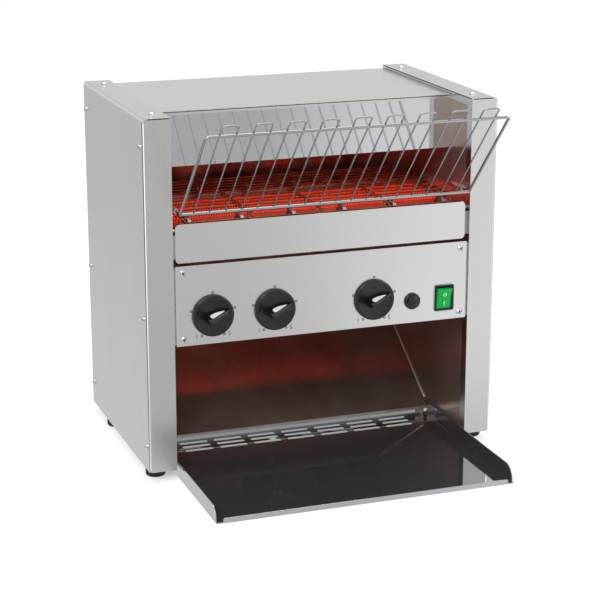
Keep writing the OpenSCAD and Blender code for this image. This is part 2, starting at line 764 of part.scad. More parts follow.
// ---- front panels ----
module guard_plate() {
    z = guard_z + guard_h / 2;
    color("gainsboro") home() translate([0, 0, z])
        along_y(guard_y, guard_y + panel_t) round_square(2 * (xi - guard_gap), guard_h, 5);
}
module guard_brackets() {
    y0 = guard_y + panel_t;
    z0 = guard_z + 5;
    z1 = guard_z + guard_h * 0.72;
    color("gray") home() both() {
        slab([xi - 12, y0, z0], [xi, y0 + sheet, z1]);
        slab([xi - sheet, y0, z0], [xi, y0 + 14, z1]);
    }
}
module control_box() {
    color("silver") home() {
        difference() {
            slab([-xi, box_y, box_z0], [xi, box_d, box_z1]);
            slab([-xi - 1, box_y + sheet, box_z0 + sheet], [xi + 1, box_d - sheet, box_z1 - sheet]);
            slab([-xi + 18, box_y - 1, box_z0 + sheet], [xi - 18, box_d - sheet, box_z1 - sheet]);
            panel_screw_at() cylinder(h = 20, d = screw_d, center = true);
            for (c = [-3 : 2]) translate([c * 34, 0, box_z1 - 25])
                along_y(box_d - 5, box_d + 1) round_square(24, 4, 1.9);
        }
    }
}
module control_panel() {
    z1 = panel_z + panel_h;
    color("gainsboro") home() difference() {
        union() {
            slab([-panel_x, panel_y, panel_z], [panel_x, box_y, z1]);
            slab([-panel_x, panel_y, panel_z], [panel_x, box_y + 9, panel_z + panel_t]);
            slab([-panel_x, panel_y, z1 - panel_t], [panel_x, box_y + 9, z1]);
        }
        panel_screw_at() cylinder(h = 20, d = screw_d + 0.2, center = true);
        for (x = [-knob_x_outer, -knob_x_inner, knob_x_inner])
            control_at(x, knob_z) cylinder(h = 20, d = bush_w, center = true);
        control_at(fuse_x, fuse_z) cylinder(h = 20, d = fuse_d - 6, center = true);
        translate([switch_x, 0, switch_z]) along_y(-5, box_y + 1) round_square(switch_w - 3, switch_h - 2, 1);
    }
}
bush_w = spindle_d + 4;
module panel_screws() {
    color("silver") home() panel_screw_at() pan_screw(panel_t + 5);
}
module dial_marks() {
    color("black") home() for (x = [-knob_x_outer, -knob_x_inner, knob_x_inner])
        control_at(x, knob_z) for (a = [-150, -75, 0, 75, 150]) rotate(-a)
            translate([0, mark_ring, 0]) difference() {
                cylinder(h = 0.15, d = mark_d);
                translate([0, 0, -1]) cylinder(h = 3, d = mark_d * 0.45);
            }
}

// ---- knobs ----
// The knob stands on the panel with its axis along local Z and points along local +Y. Its grip
// is where three shapes meet: the plan, a tapering section, and a side view that falls to the tip.
// The white pointer is let into the flank that faces -X.
ku = knob_d / 50;
kv = knob_h / 24;
skirt_h = 5.4 * kv;
flank_lean = atan2(2.2 * ku, knob_h - skirt_h);
module grip() {
    intersection() {
        translate([0, 0, 1]) linear_extrude(knob_h) polygon([[-4.4, -11], [4.4, -11], [5.8, -9.6],
            [5.8, 12], [2.4, 21], [-2.4, 21], [-5.8, 12], [-5.8, -9.6]] * ku);
        rotate([90, 0, 0]) linear_extrude(60, center = true)
            polygon([[-5.6 * ku, 0], [5.6 * ku, 0], [5.6 * ku, skirt_h], [3.4 * ku, knob_h],
                [-3.4 * ku, knob_h], [-5.6 * ku, skirt_h]]);
        along_x(-10, 10) polygon([[-11 * ku, 0], [-11 * ku, skirt_h], [-9.3 * ku, knob_h],
            [17.2 * ku, 0.475 * knob_h], [20.8 * ku, skirt_h], [20.8 * ku, 0]]);
    }
}
module on_flank(x0, x1) {
    translate([-5.6 * ku, 0, skirt_h]) rotate([0, flank_lean, 0]) along_x(x0, x1)
        polygon([for (p = [[-6.6, 8.4], [-6.2, 13.2], [-5, 14.2], [-3.6, 14], [1, 12.1], [6, 9.7],
            [12.2, 6.6], [8, 4.9], [3.4, 3.9], [-2, 4.2], [-5.4, 5.6]]) [p[0] * ku, p[1] * kv]]);
}
module knob() {
    r = knob_d / 2;
    difference() {
        union() {
            translate([0, 0, 0.8]) cylinder(h = skirt_h - 2, r = r);
            translate([0, 0, skirt_h - 1.2]) cylinder(h = 1.2, r1 = r, r2 = r - 1.2);
            grip();
        }
        on_flank(-1, 0.6);
        translate([0, 0, -4.2]) cylinder(h = 17, d = spindle_d);
        for (a = [0 : 30 : 330]) rotate(a + 15) translate([r + 1.6, 0, -1]) cylinder(h = 10, r = 2.4);
    }
}
module pointer() { on_flank(0, 0.6); }
module spindle() {
    translate([0, 0, -20]) cylinder(h = 32.8, d = spindle_d);
}
rest_turn = -75;
module set_knob(x) { control_at(x, knob_z) rotate(rest_turn) children(); }
module knob_bottom_heat() { color("#1c1c1c") home() set_knob(-knob_x_outer) knob(); }
module knob_top_heat() { color("#1c1c1c") home() set_knob(-knob_x_inner) knob(); }
module knob_speed() { color("#1c1c1c") home() set_knob(knob_x_inner) knob(); }
module pointer_bottom_heat() { color("white") home() set_knob(-knob_x_outer) pointer(); }
module pointer_top_heat() { color("white") home() set_knob(-knob_x_inner) pointer(); }
module pointer_speed() { color("white") home() set_knob(knob_x_inner) pointer(); }
module spindle_bottom_heat() { color("silver") home() set_knob(-knob_x_outer) spindle(); }
module spindle_top_heat() { color("silver") home() set_knob(-knob_x_inner) spindle(); }
module spindle_speed() { color("silver") home() set_knob(knob_x_inner) spindle(); }

// body of a rotary control behind the panel, with its threaded bush and nut
module rotary_body(w, d) {
    difference() {
        union() {
            translate([0, 0, -panel_t - 3.2 - d]) linear_extrude(d) round_square(w, w, 3);
            translate([0, 0, -panel_t - 3.2]) cylinder(h = panel_t + 3.6, d = bush_w);
            translate([0, 0, -panel_t - 3.2]) cylinder(h = 3, d = bush_w * 1.5, $fn = 6);
        }
        translate([0, 0, -22]) cylinder(h = 40, d = spindle_d + 2 * fit);
    }
}
module terminals(w, d) {
    for (x = [-1, 1], y = [-1, 1])
        translate([x * w * 0.3 - 3, y * w * 0.25 - 0.4, -panel_t - 3.2 - d - 8]) cube([6, 0.8, 9]);
}
module heat_regulators() {
    color("ivory") home() for (x = [-knob_x_outer, -knob_x_inner]) control_at(x, knob_z) {
        rotary_body(42, 26);
        terminals(42, 26);
    }
}
module speed_regulator() {
    color("seagreen") home() control_at(knob_x_inner, knob_z) {
        rotary_body(24, 18);
        translate([-30, -26, -panel_t - 3.2 - 18 - 1.6]) cube([60, 50, 1.6]);
        translate([8, 4, -panel_t - 3.2 - 18 - 13.6]) cube([16, 14, 12]);
        translate([-22, -16, -panel_t - 3.2 - 18 - 17.6]) cylinder(h = 16, d = 12);
    }
}

// ---- fuse and switch ----
cap_d = fuse_d - 8;
module fuse_holder() {
    color("#202020") home() control_at(fuse_x, fuse_z) difference() {
        union() {
            cylinder(h = 2, d = fuse_d);
            translate([0, 0, 2]) cylinder(h = 1, d1 = fuse_d, d2 = fuse_d - 2);
            translate([0, 0, -34]) cylinder(h = 34.5, d = fuse_d - 6);
            translate([0, 0, -panel_t - 4]) cylinder(h = 4, d = fuse_d + 1, $fn = 6);
        }
        translate([0, 0, -26]) cylinder(h = 40, d = cap_d + 2 * fit);
    }
}
module fuse_cap() {
    color("#2a2a2a") home() control_at(fuse_x, fuse_z) difference() {
        union() {
            translate([0, 0, -25]) cylinder(h = 30.4, d = cap_d);
            translate([0, 0, 5.4]) cylinder(h = 1, d1 = cap_d, d2 = cap_d - 2);
        }
        translate([-5, -0.9, 4.2]) cube([10, 1.8, 4]);
        translate([-cap_d, cap_d / 2 - 1.1, 3.4]) cube([2 * cap_d, 5, 6]);
    }
}
module switch_housing() {
    color("#1a1a1a") home() translate([switch_x, 0, switch_z]) difference() {
        union() {
            along_y(panel_y - 1.8, panel_y) round_square(switch_w, switch_h, 1.5);
            along_y(panel_y - 1, panel_y + 24) round_square(switch_w - 3, switch_h - 2, 1);
            for (x = [-6, 6], z = [-8, 8]) slab([x - 0.4, 20, z - 3], [x + 0.4, panel_y + 33, z + 3]);
        }
        slab([-rocker_w / 2 - 0.3, -10, -rocker_h / 2 - 1.2],
            [rocker_w / 2 + 0.3, pivot_y + 10, rocker_h / 2 + 1.2]);
        rod_x(-rocker_w / 2 - 1.3, rocker_w / 2 + 1.3, pivot_y, 0, 3 + 2 * fit);
    }
}
module switch_rocker() {
    h = rocker_h / 2;
    rise = h * tan(rocker_tip);
    color("green") home() translate([switch_x, pivot_y, switch_z]) rotate([rocker_tip, 0, 0]) {
        along_x(-rocker_w / 2, rocker_w / 2)
            polygon([[-pivot_back, 0], [-pivot_back - rise, h], [0, h - 1], [5, h - 4],
                [5, 4 - h], [0, 1 - h], [-pivot_back - rise, -h]]);
        rod_x(-rocker_w / 2 - 1, rocker_w / 2 + 1, 0, 0, 3);
    }
}

// ---- rack ----
// local frame: +Z runs up the slope from the lower bar, +Y is its upper side
module on_rack() { translate([0, -rack_out, rack_z]) rotate([rack_tilt, 0, 0]) children(); }
module wire_z(x, y, z0, z1, d) { translate([x, y, z0]) cylinder(h = z1 - z0, d = d); }
// quarter bend round (x, z) in the X-Z plane, from the angle a
module wire_bend(x, y, z, a, r, d) {
    translate([x, y, z]) rotate([90, 0, 0]) rotate(a)
        rotate_extrude(angle = 90) translate([r, 0]) circle(d = d);
}
module loading_rack() {
    d = rack_wire;
    top = rack_len + loop_rise;
    b = loop_bend;
    color("silver") home() {
        on_rack() {
            rod_x(-rack_x - d / 3, rack_x + d / 3, 0, 0, d + 0.2);
            rod_x(-rack_x + b, rack_x - b, 0, rack_len, d);
            both() {
                wire_z(rack_x, 0, 0, rack_len - b, d);
                wire_bend(rack_x - b, 0, rack_len - b, 0, b, d);
            }
            for (k = [0 : loops - 1]) {
                x0 = -rack_x + loop_inset + 2 * k * loop_step;
                x1 = x0 + loop_step;
                for (x = [x0, x1]) wire_z(x, loop_off, 0, top - b, loop_wire);
                rod_x(x0 + b, x1 - b, loop_off, top, loop_wire);
                wire_bend(x0 + b, loop_off, top - b, 90, b, loop_wire);
                wire_bend(x1 - b, loop_off, top - b, 0, b, loop_wire);
            }
        }
        both() rod_y(-rack_out, prong_end, rack_x, rack_z, prong_d);
    }
}
module rack_sockets() {
    y1 = socket_y + 32;
    z = rack_z;
    color("darkgray") home() both() difference() {
        union() {
            rod_y(socket_y, y1, rack_x, z, prong_d + 3);
            slab([rack_x, wall_y0, z - 1.5], [xi, y1, z + 1.5]);
        }
        rod_y(socket_y - 1, y1 + 1, rack_x, z, prong_d + 2 * fit);
    }
}

// ---- ramp and tray ----
ramp_rise = (ramp_rear_y - ramp_y) * tan(ramp_slope);
ramp_top_z = 1 + ramp_rise;
module delivery_ramp() {
    t = liner_t / cos(ramp_slope);
    color("lightsteelblue") home() {
        difference() {
            along_x(-xi, xi) {
                polygon([[ramp_y, 1], [ramp_rear_y, ramp_top_z], [ramp_rear_y, ramp_top_z - t],
                    [ramp_y, 1 - t]]);
                translate([ramp_rear_y - liner_t, ramp_top_z - t]) square([liner_t, t + 4]);
            }
            both() slab([tray_x - tray_t - 0.6, ramp_y - 1, -3], [xi + 1, tray_rear + 1, 40]);
        }
        both() slab([xi - 18, ramp_y + 1, -7], [xi - 6, ramp_y + 2.2, 1.4]);
    }
}
module delivery_tray() {
    x = tray_x;
    z0 = tray_z;
    z1 = tray_z + tray_wall_h;
    t = tray_t;
    color("lightgray") home() {
        difference() {
            slab([-x, tray_front, z0], [x, tray_rear, z0 + t]);
            for (c = [-3 : 3], r = [0 : 2])
                translate([c * (x - 28) / 3.5, tray_rear - 12 - r * 13, z0 - 1])
                    linear_extrude(5) round_square(36, 6, 2.9);
        }
        both() along_x(x - t, x) {
            translate([tray_front + 4 + tray_round, z0])
                square([tray_rear - tray_front - 4 - tray_round, tray_wall_h]);
            translate([tray_front + 4, z0]) square([tray_round, tray_wall_h - tray_round]);
            intersection() {
                translate([tray_front + 4 + tray_round, z1 - tray_round]) circle(tray_round);
                translate([tray_front + 4, z0]) square([tray_round, tray_wall_h]);
            }
        }
        along_y(tray_front, tray_front + t) {
            translate([-x + 8, z0]) square([2 * x - 16, tray_lip_h - 2]);
            translate([-x + 10, z0]) square([2 * x - 20, tray_lip_h]);
            for (s = [-1, 1]) translate([s * (x - 10), z0 + tray_lip_h - 2]) circle(2);
        }
    }
}

// ---- fan, gland, terminals ----
module fan_frame() {
    s = fan_size;
    color("#303030") home() translate([0, fan_y0, fan_z]) difference() {
        union() {
            difference() {
                along_y(0, fan_d) round_square(s, s, 4);
                rod_y(-1, fan_d + 1, 0, 0, s - 3);
                along_y(4, fan_d - 4) for (a = [0 : 90 : 270]) rotate(a + 45)
                    translate([s * 0.62, 0]) square([s * 0.16, s * 0.16], center = true);
            }
            for (a = [0 : 90 : 270]) rotate([0, a, 0]) slab([0, fan_d - 4, -1.5], [s / 2 - 1, fan_d - 1, 1.5]);
            rod_y(fan_d - 4, fan_d - 1, 0, 0, s * 0.42);
        }
        for (x = [-1, 1], z = [-1, 1]) rod_y(-1, fan_d + 1, x * fan_hole, z * fan_hole, 4.3);
        rod_y(fan_d - 8, fan_d + 1, 0, 0, 3 + 2 * fit);
    }
}
module fan_rotor() {
    s = fan_size;
    color("#3a3a3a") home() translate([0, fan_y0, fan_z]) {
        rod_y(2, fan_d - 5, 0, 0, s * 0.4);
        rod_y(2, fan_d - 1.5, 0, 0, 3);
        intersection() {
            rod_y(2, fan_d - 5, 0, 0, s - 6);
            for (k = [0 : 6]) rotate([0, k * 360 / 7, 0]) translate([s * 0.17, 12, 0])
                rotate([38, 0, 0]) slab([0, -11, -0.7], [s * 0.32, 11, 0.7]);
        }
    }
}
module cable_gland() {
    y = body_d - sheet;
    color("#2b2b2b") home() translate([-gland_x, 0, gland_z]) difference() {
        union() {
            rod_y(y - 14, y + 4, 0, 0, gland_d);
            translate([0, y + 5, 0]) rotate([90, 0, 0]) cylinder(h = 5, d = 23, $fn = 6);
            rod_y(y + 5, y + 12, 0, 0, 19);
            translate([0, y + 12, 0]) rotate([-90, 0, 0])
                cylinder(h = gland_out + sheet - 12, d1 = 19, d2 = 13);
            translate([0, rear_y, 0]) rotate([90, 0, 0]) cylinder(h = 4, d = 23, $fn = 6);
        }
        rod_y(y - 20, y + 30, 0, 0, 9);
    }
}
module terminal_block() {
    y0 = rear_y - 62;
    color("ivory") home() translate([-gland_x, y0, 2 * sheet]) difference() {
        slab([-27, -9, 0], [27, 9, 16]);
        for (k = [-2 : 2]) translate([k * 10, 0, 0]) {
            translate([0, 0, 8]) cylinder(h = 10, d = 5);
            rod_y(-10, 10, 0, 5, 3.4);
        }
        for (k = [-3 : 2]) slab([k * 10 + 4.4, -10, 10], [k * 10 + 5.6, 10, 17]);
    }
}

side_casing_left();
side_casing_right();
top_panel();
rear_panel();
base_pan();
corner_posts();
inner_wall_left();
inner_wall_right();
hood_plate();
top_reflector();
bottom_reflector();
rear_guide();
insulation_pad();
quartz_tubes();
heating_coils();
ceramic_caps();
conveyor_belt();
front_shaft();
front_belt_sprockets();
rear_shaft();
rear_belt_sprockets();
shaft_bushes();
shaft_sprocket();
drive_chain();
motor_sprocket();
motor_output_shaft();
gearbox();
motor();
motor_bracket();
guard_plate();
guard_brackets();
control_box();
control_panel();
dial_marks();
knob_bottom_heat();
knob_top_heat();
knob_speed();
pointer_bottom_heat();
pointer_top_heat();
pointer_speed();
spindle_bottom_heat();
spindle_top_heat();
spindle_speed();
heat_regulators();
speed_regulator();
fuse_holder();
fuse_cap();
switch_housing();
switch_rocker();
loading_rack();
rack_sockets();
delivery_ramp();
delivery_tray();
rubber_feet();
casing_screws();
panel_screws();
fan_frame();
fan_rotor();
cable_gland();
terminal_block();
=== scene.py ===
"""Conveyor toaster: finishes, wire belt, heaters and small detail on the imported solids."""
import math

import bmesh
import bpy
import numpy as np
from bpy.props import FloatProperty, FloatVectorProperty, IntProperty, PointerProperty
from mathutils import Euler, Matrix, Vector


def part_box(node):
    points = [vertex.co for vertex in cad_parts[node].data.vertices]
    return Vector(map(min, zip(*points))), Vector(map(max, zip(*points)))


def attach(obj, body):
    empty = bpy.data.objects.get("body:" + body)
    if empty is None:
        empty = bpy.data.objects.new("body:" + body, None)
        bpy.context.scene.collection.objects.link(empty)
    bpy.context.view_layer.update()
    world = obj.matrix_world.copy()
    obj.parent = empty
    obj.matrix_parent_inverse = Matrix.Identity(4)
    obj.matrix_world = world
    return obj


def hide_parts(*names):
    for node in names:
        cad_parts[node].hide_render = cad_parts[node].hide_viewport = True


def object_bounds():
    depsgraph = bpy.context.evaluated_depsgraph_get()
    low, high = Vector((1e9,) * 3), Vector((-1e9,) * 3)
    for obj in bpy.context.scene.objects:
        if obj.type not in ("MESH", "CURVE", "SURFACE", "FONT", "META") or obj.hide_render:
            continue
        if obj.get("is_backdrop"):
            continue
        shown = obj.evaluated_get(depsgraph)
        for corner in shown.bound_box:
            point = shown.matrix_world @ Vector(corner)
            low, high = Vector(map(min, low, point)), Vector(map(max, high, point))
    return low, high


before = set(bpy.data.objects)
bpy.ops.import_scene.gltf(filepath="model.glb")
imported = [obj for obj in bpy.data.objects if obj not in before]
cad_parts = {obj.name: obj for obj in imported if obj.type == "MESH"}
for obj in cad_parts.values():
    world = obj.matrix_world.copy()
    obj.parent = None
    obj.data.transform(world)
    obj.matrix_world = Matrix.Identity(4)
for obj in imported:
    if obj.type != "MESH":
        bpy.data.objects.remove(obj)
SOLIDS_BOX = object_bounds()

bl_info = {
    "name": "Conveyor toaster",
    "version": (1, 0, 0),
    "blender": (4, 5, 0),
    "location": "3D View > Sidebar > Toaster",
    "description": "Builds the looks of a conveyor toaster on its packed solids",
    "category": "Object",
}

MM = 0.001
X, Y, Z = np.eye(3)
FRONT, FEET = -76, 12             # mm: the casing's front in y, and how high the feet lift it
BELT_RADIUS = 19.0986 / 180       # radius of the belt's two bends over the distance between its shafts
# heater centres (y, z) in mm: four in the lower bank, four in the upper one, 33 mm apart
HEATER_PLACES = [(FRONT + first + 33 * k, FEET + z) for first, z in ((70.5, 282), (88, 363)) for k in range(4)]
DIALS = ("bottom_heat", "top_heat", "speed")
WHITE = (1, 1, 1, 1)


def linear(hex_colour):
    """sRGB hex to linear RGBA: c / 12.92 below 0.04045, ((c + 0.055) / 1.055) ** 2.4 above."""
    srgb = [int(hex_colour[i:i + 2], 16) / 255 for i in (1, 3, 5)]
    return tuple(c / 12.92 if c <= 0.04045 else ((c + 0.055) / 1.055) ** 2.4 for c in srgb) + (1.0,)


def length(name, about, default):
    """A size in metres that shows in the sidebar."""
    return FloatProperty(name=name, description=about, default=default, unit="LENGTH", precision=5)


def colour(name, about, hex_colour):
    """A colour that shows in the sidebar."""
    return FloatVectorProperty(name=name, description=about, default=linear(hex_colour), size=4,
                               subtype="COLOR", min=0, max=1)


class ToasterSizes(bpy.types.PropertyGroup):
    """Sizes of what the scene adds to the solids."""
    belt_wire: length("Belt wire", "Diameter of the belt's bent wire", 2.0 * MM)
    belt_hook: length("Belt hook", "How far a hook reaches past the next strand", 2.6 * MM)
    coil_wire: length("Coil wire", "Diameter of the resistance wire", 0.7 * MM)
    coil_radius: length("Coil radius", "Radius of the winding inside a quartz tube", 3.0 * MM)
    coil_pitch: length("Coil pitch", "Distance from turn to turn", 3.2 * MM)
    sheet_round: length("Sheet edge", "Rounding of a deburred sheet edge", 0.25 * MM)
    moulded_round: length("Moulded edge", "Rounding of a moulded plastic edge", 0.5 * MM)
    digit_height: length("Digit height", "Height of the printed digits", 5.5 * MM)
    legend_height: length("Legend height", "Height of the switch's O and I", 4.6 * MM)
    strands: IntProperty(name="Strands", description="Cross wires of the belt", default=32, min=8, max=64)


class ToasterColours(bpy.types.PropertyGroup):
    """Colours of the finishes."""
    stainless: colour("Stainless", "Satin stainless sheet", "#CBCBC9")
    mirror: colour("Mirror stainless", "Polished stainless sheet", "#B8B9BB")
    galvanised: colour("Galvanised", "Zinc coated sheet", "#A9ACAD")
    bright_wire: colour("Bright wire", "Chromed wire", "#A4A6A8")
    hot_wire: colour("Heat-browned wire", "Belt wire after many hours of heat", "#8A5F45")
    # white of the pointers: a painted reflection of the overhead light
    glow: colour("Glow", "Resistance wire at about 900 degrees", "#FF3010")
    flank_reflection: colour("Flank reflection", "White painted reflection on a pointer", "#F4F4F0")
    ink: colour("Ink", "Screen print on the panel", "#4A4A4B")
    lens: colour("Lens", "Lit green rocker", "#058A3E")
    rubber: colour("Rubber", "Feet", "#161616")
    steatite: colour("Steatite", "Unglazed ceramic caps", "#E3DDCB")
    board: colour("Board", "Lacquered circuit board", "#1E6B3C")


# ---- mesh ----

def grid(points, around=False, along=False):
    """Vertices and quads of an (m, n, 3) array of points; along closes the first parameter, around the second."""
    m, n = points.shape[:2]
    number = np.arange(m * n).reshape(m, n)
    i, j = np.arange(m if along else m - 1), np.arange(n if around else n - 1)
    i, j = np.meshgrid(i, j, indexing="ij")
    a, b = (i + 1) % m, (j + 1) % n
    quads = np.stack([number[i, j], number[a, j], number[a, b], number[i, b]], -1)
    return points.reshape(-1, 3), quads.reshape(-1, 4)


def joined(*parts):
    """Several (vertices, quads) as one, the quads counted on from those before."""
    starts = np.cumsum([0] + [len(v) for v, _ in parts[:-1]])
    return np.concatenate([v for v, _ in parts]), np.concatenate([f + s for (_, f), s in zip(parts, starts)])


def smooth(points, steps):
    """Catmull-Rom curve through (k, 3) points: each span is a cubic whose ends slope as its neighbours' chord."""
    p = np.concatenate([2 * points[:1] - points[1:2], points, 2 * points[-1:] - points[-2:-1]])
    t = (np.arange(steps) / steps)[None, :, None]
    a, b, c, d = (p[i:len(p) - 3 + i, None] for i in range(4))
    span = 0.5 * (2 * b + (c - a) * t + (2 * a - 5 * b + 4 * c - d) * t ** 2 + (3 * b - a - 3 * c + d) * t ** 3)
    return np.concatenate([span.reshape(-1, 3), points[-1:]])


def tube(path, normal, radius, sides):
    """A round profile carried along a path: point + r (cos a N + sin a B), N square to the tangent, B = T x N;
    r falls to 0 at both ends."""
    tangent = np.gradient(path, axis=0)
    tangent /= np.linalg.norm(tangent, axis=1, keepdims=True)
    side = normal - (normal * tangent).sum(1, keepdims=True) * tangent
    side /= np.linalg.norm(side, axis=1, keepdims=True)
    other = np.cross(tangent, side)
    a = np.linspace(0, 2 * np.pi, sides, endpoint=False)[None, :, None]
    rings = path[:, None] + radius * (np.cos(a) * side[:, None] + np.sin(a) * other[:, None])
    ends = [np.repeat(path[k:k + 1, None], sides, 1) for k in (0, -1)]
    return grid(np.concatenate([ends[0], rings, ends[1]]), around=True)


def piece(name, shape, body, finish, *about, **more):
    """A mesh object at the origin from (vertices in metres, quads)."""
    vertices, faces = shape
    mesh = bpy.data.meshes.new(name)
    mesh.from_pydata(vertices.tolist(), [], faces.tolist())
    return settle(name, mesh, body, finish, *about, **more)


def settle(name, mesh, body, finish, stands_for=(), slot=None, soft=True, crease=None):
    """Merges a mesh's doubles, turns its faces outwards, makes it an object and lets it ride on its body. Edges
    that turn more than crease degrees look sharp."""
    work = bmesh.new()
    work.from_mesh(mesh)
    bmesh.ops.remove_doubles(work, verts=work.verts, dist=2e-6)
    bmesh.ops.dissolve_degenerate(work, edges=work.edges, dist=1e-7)
    bmesh.ops.recalc_face_normals(work, faces=work.faces)
    work.to_mesh(mesh)
    work.free()
    mesh.polygons.foreach_set("use_smooth", [soft] * len(mesh.polygons))
    if crease:
        mesh.set_sharp_from_angle(angle=math.radians(crease))
    mesh.materials.clear()
    mesh.materials.append(finish)
    made = bpy.data.objects.new(name, mesh)
    bpy.context.scene.collection.objects.link(made)
    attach(made, body)
    if stands_for:
        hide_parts(*stands_for)
    return made


def rounded(node, body, finish, width, slot, soft=True):
    """A merged copy of a solid whose edges are rounded, for the thin bright line that a real edge has."""
    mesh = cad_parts[node].data.copy()
    work = bmesh.new()
    work.from_mesh(mesh)
    bmesh.ops.remove_doubles(work, verts=work.verts, dist=2e-6)
    bmesh.ops.dissolve_limit(work, angle_limit=math.radians(0.6), verts=work.verts, edges=work.edges)
    work.to_mesh(mesh)
    work.free()
    made = settle(node + "_rounded", mesh, body, finish, (node,), slot, soft)
    bevel = made.modifiers.new("edges", "BEVEL")
    bevel.width, bevel.segments = width, 2
    bevel.limit_method, bevel.angle_limit = "ANGLE", math.radians(25)
    bevel.use_clamp_overlap, bevel.harden_normals = False, soft
    return made


def printed(name, word, height, place, body, finish, slot):
    """Generic digits as a flat mesh, 0.06 mm thick, put in place by a matrix. A digit is 1 / 1.38 of its font's
    size high."""
    text = bpy.data.curves.new(name, "FONT")
    text.body, text.size, text.align_x, text.align_y = word, height * 1.38, "CENTER", "CENTER"
    text.extrude = 0.03 * MM
    carrier = bpy.data.objects.new(name, text)
    bpy.context.scene.collection.objects.link(carrier)
    mesh = bpy.data.meshes.new_from_object(carrier.evaluated_get(bpy.context.evaluated_depsgraph_get()))
    bpy.data.objects.remove(carrier)
    mesh.transform(place)
    return settle(name, mesh, body, finish, slot=slot, soft=False)


# ---- materials ----

def add(tree, kind, inputs=(), out=0, **settings):
    """Adds a node with its settings and gives one of its outputs. Inputs go by place or by name; each is a value,
    or a socket to link from."""
    made = tree.nodes.new("ShaderNode" + kind)
    for name, value in settings.items():
        setattr(made, name, value)
    for key, value in inputs.items() if isinstance(inputs, dict) else enumerate(inputs):
        if isinstance(value, bpy.types.NodeSocket):
            tree.links.new(value, made.inputs[key])
        else:
            made.inputs[key].default_value = value
    return made.outputs[out] if made.outputs else None


def started(name, base=WHITE):
    """A new material with no nodes yet, and its tree."""
    made = bpy.data.materials.new(name)
    made.use_nodes = True
    made.diffuse_color = base
    made.node_tree.nodes.clear()
    return made, made.node_tree


def finished(made, inputs):
    """Ends a material in one Principled shader. An input is a value, a socket, or a list of a pattern and what it
    makes: a mix of two colours, a run between two numbers as it goes from 0.3 to 0.7, or a relief so many metres
    high."""
    tree, ready = made.node_tree, dict(inputs)
    for name, value in inputs.items():
        if isinstance(value, list):
            pattern, *ends = value
            if name == "Normal":
                ready[name] = add(tree, "Bump", {"Height": pattern, "Distance": ends[0]})
            elif name.endswith("Color"):
                ready[name] = add(tree, "Mix", {0: pattern, 6: ends[0], 7: ends[1]}, 2, data_type="RGBA")
            else:
                ready[name] = add(tree, "MapRange", (pattern, 0.3, 0.7, *ends))
    add(tree, "OutputMaterial", [add(tree, "BsdfPrincipled", ready)])
    return made


def grain(tree, per_metre, detail=2.0, roughness=0.5):
    """Noise on Object coordinates, mostly 0.3 to 0.7, with its own count of cells per metre along each axis."""
    moved = add(tree, "Mapping", {"Vector": add(tree, "TexCoord", out="Object"), "Scale": per_metre})
    return add(tree, "TexNoise", {"Vector": moved, "Scale": 1.0, "Detail": detail, "Roughness": roughness})


def shade(colour_in, factor):
    """A colour made darker or lighter, kept under 1."""
    return tuple(min(c * factor, 1.0) for c in colour_in[:3]) + (1.0,)


MADE = {}


def once(make):
    """Keeps a finish after its first use, so that like pieces share it."""
    def kept(*key):
        if (make.__name__,) + key not in MADE:
            MADE[(make.__name__,) + key] = make(bpy.context.scene.toaster_colours, *key)
        return MADE[(make.__name__,) + key]
    return kept


@once
def satin_stainless(colours, way, tone):
    """Stainless sheet ground with a fine belt: soft long reflections, hair lines along the grinding."""
    # tone scales the sheet's colour face by face: painted shade
    base = shade(colours.stainless, tone)
    made, tree = started("satin stainless, ground along " + way, base)
    # real lines are about 0.05 mm wide and 40 mm long; they are 0.5 mm wide here, so that they show
    fine, long = 1 / (0.5 * MM), 1 / (140 * MM)
    lines = grain(tree, [long if axis == way else fine for axis in "xyz"], 3.0, 0.6)
    rough = add(tree, "Math", (add(tree, "MapRange", (lines, 0.3, 0.7, -0.015, 0.015)),
                               add(tree, "MapRange", (grain(tree, (9, 9, 9)), 0.3, 0.7, 0.24, 0.28))))
    return finished(made, {"Base Color": [lines, shade(base, 0.985), shade(base, 1.01)], "Metallic": 1.0,
                           "Roughness": rough, "Normal": [lines, 0.002 * MM]})


@once
def mirror_stainless(colours):
    """Bright annealed stainless sheet: a clear mirror, slightly wavy, with wiping haze."""
    made, tree = started("bright annealed stainless", colours.mirror)
    haze, wave = grain(tree, (14, 14, 14), 4.0, 0.6), grain(tree, (12, 12, 12), 1.0)
    # rolled sheet is flat to about 0.02 mm over 80 mm
    return finished(made, {"Base Color": colours.mirror, "Metallic": 0.93, "Roughness": [haze, 0.02, 0.07],
                           "Normal": [wave, 0.008 * MM]})


@once
def dulled_mirror(colours):
    """Bright annealed sheet after years of heat: a soft mirror with a brown film."""
    made, tree = started("bright annealed stainless, heat dulled", linear("#A89490"))
    film = grain(tree, (11, 11, 11), 4.0, 0.6)
    brown = [add(tree, "MapRange", (film, 0.3, 0.7)), linear("#B09C92"), linear("#967A6E")]
    return finished(made, {"Base Color": brown, "Metallic": 0.72, "IOR": 1.5, "Roughness": [film, 0.14, 0.27]})


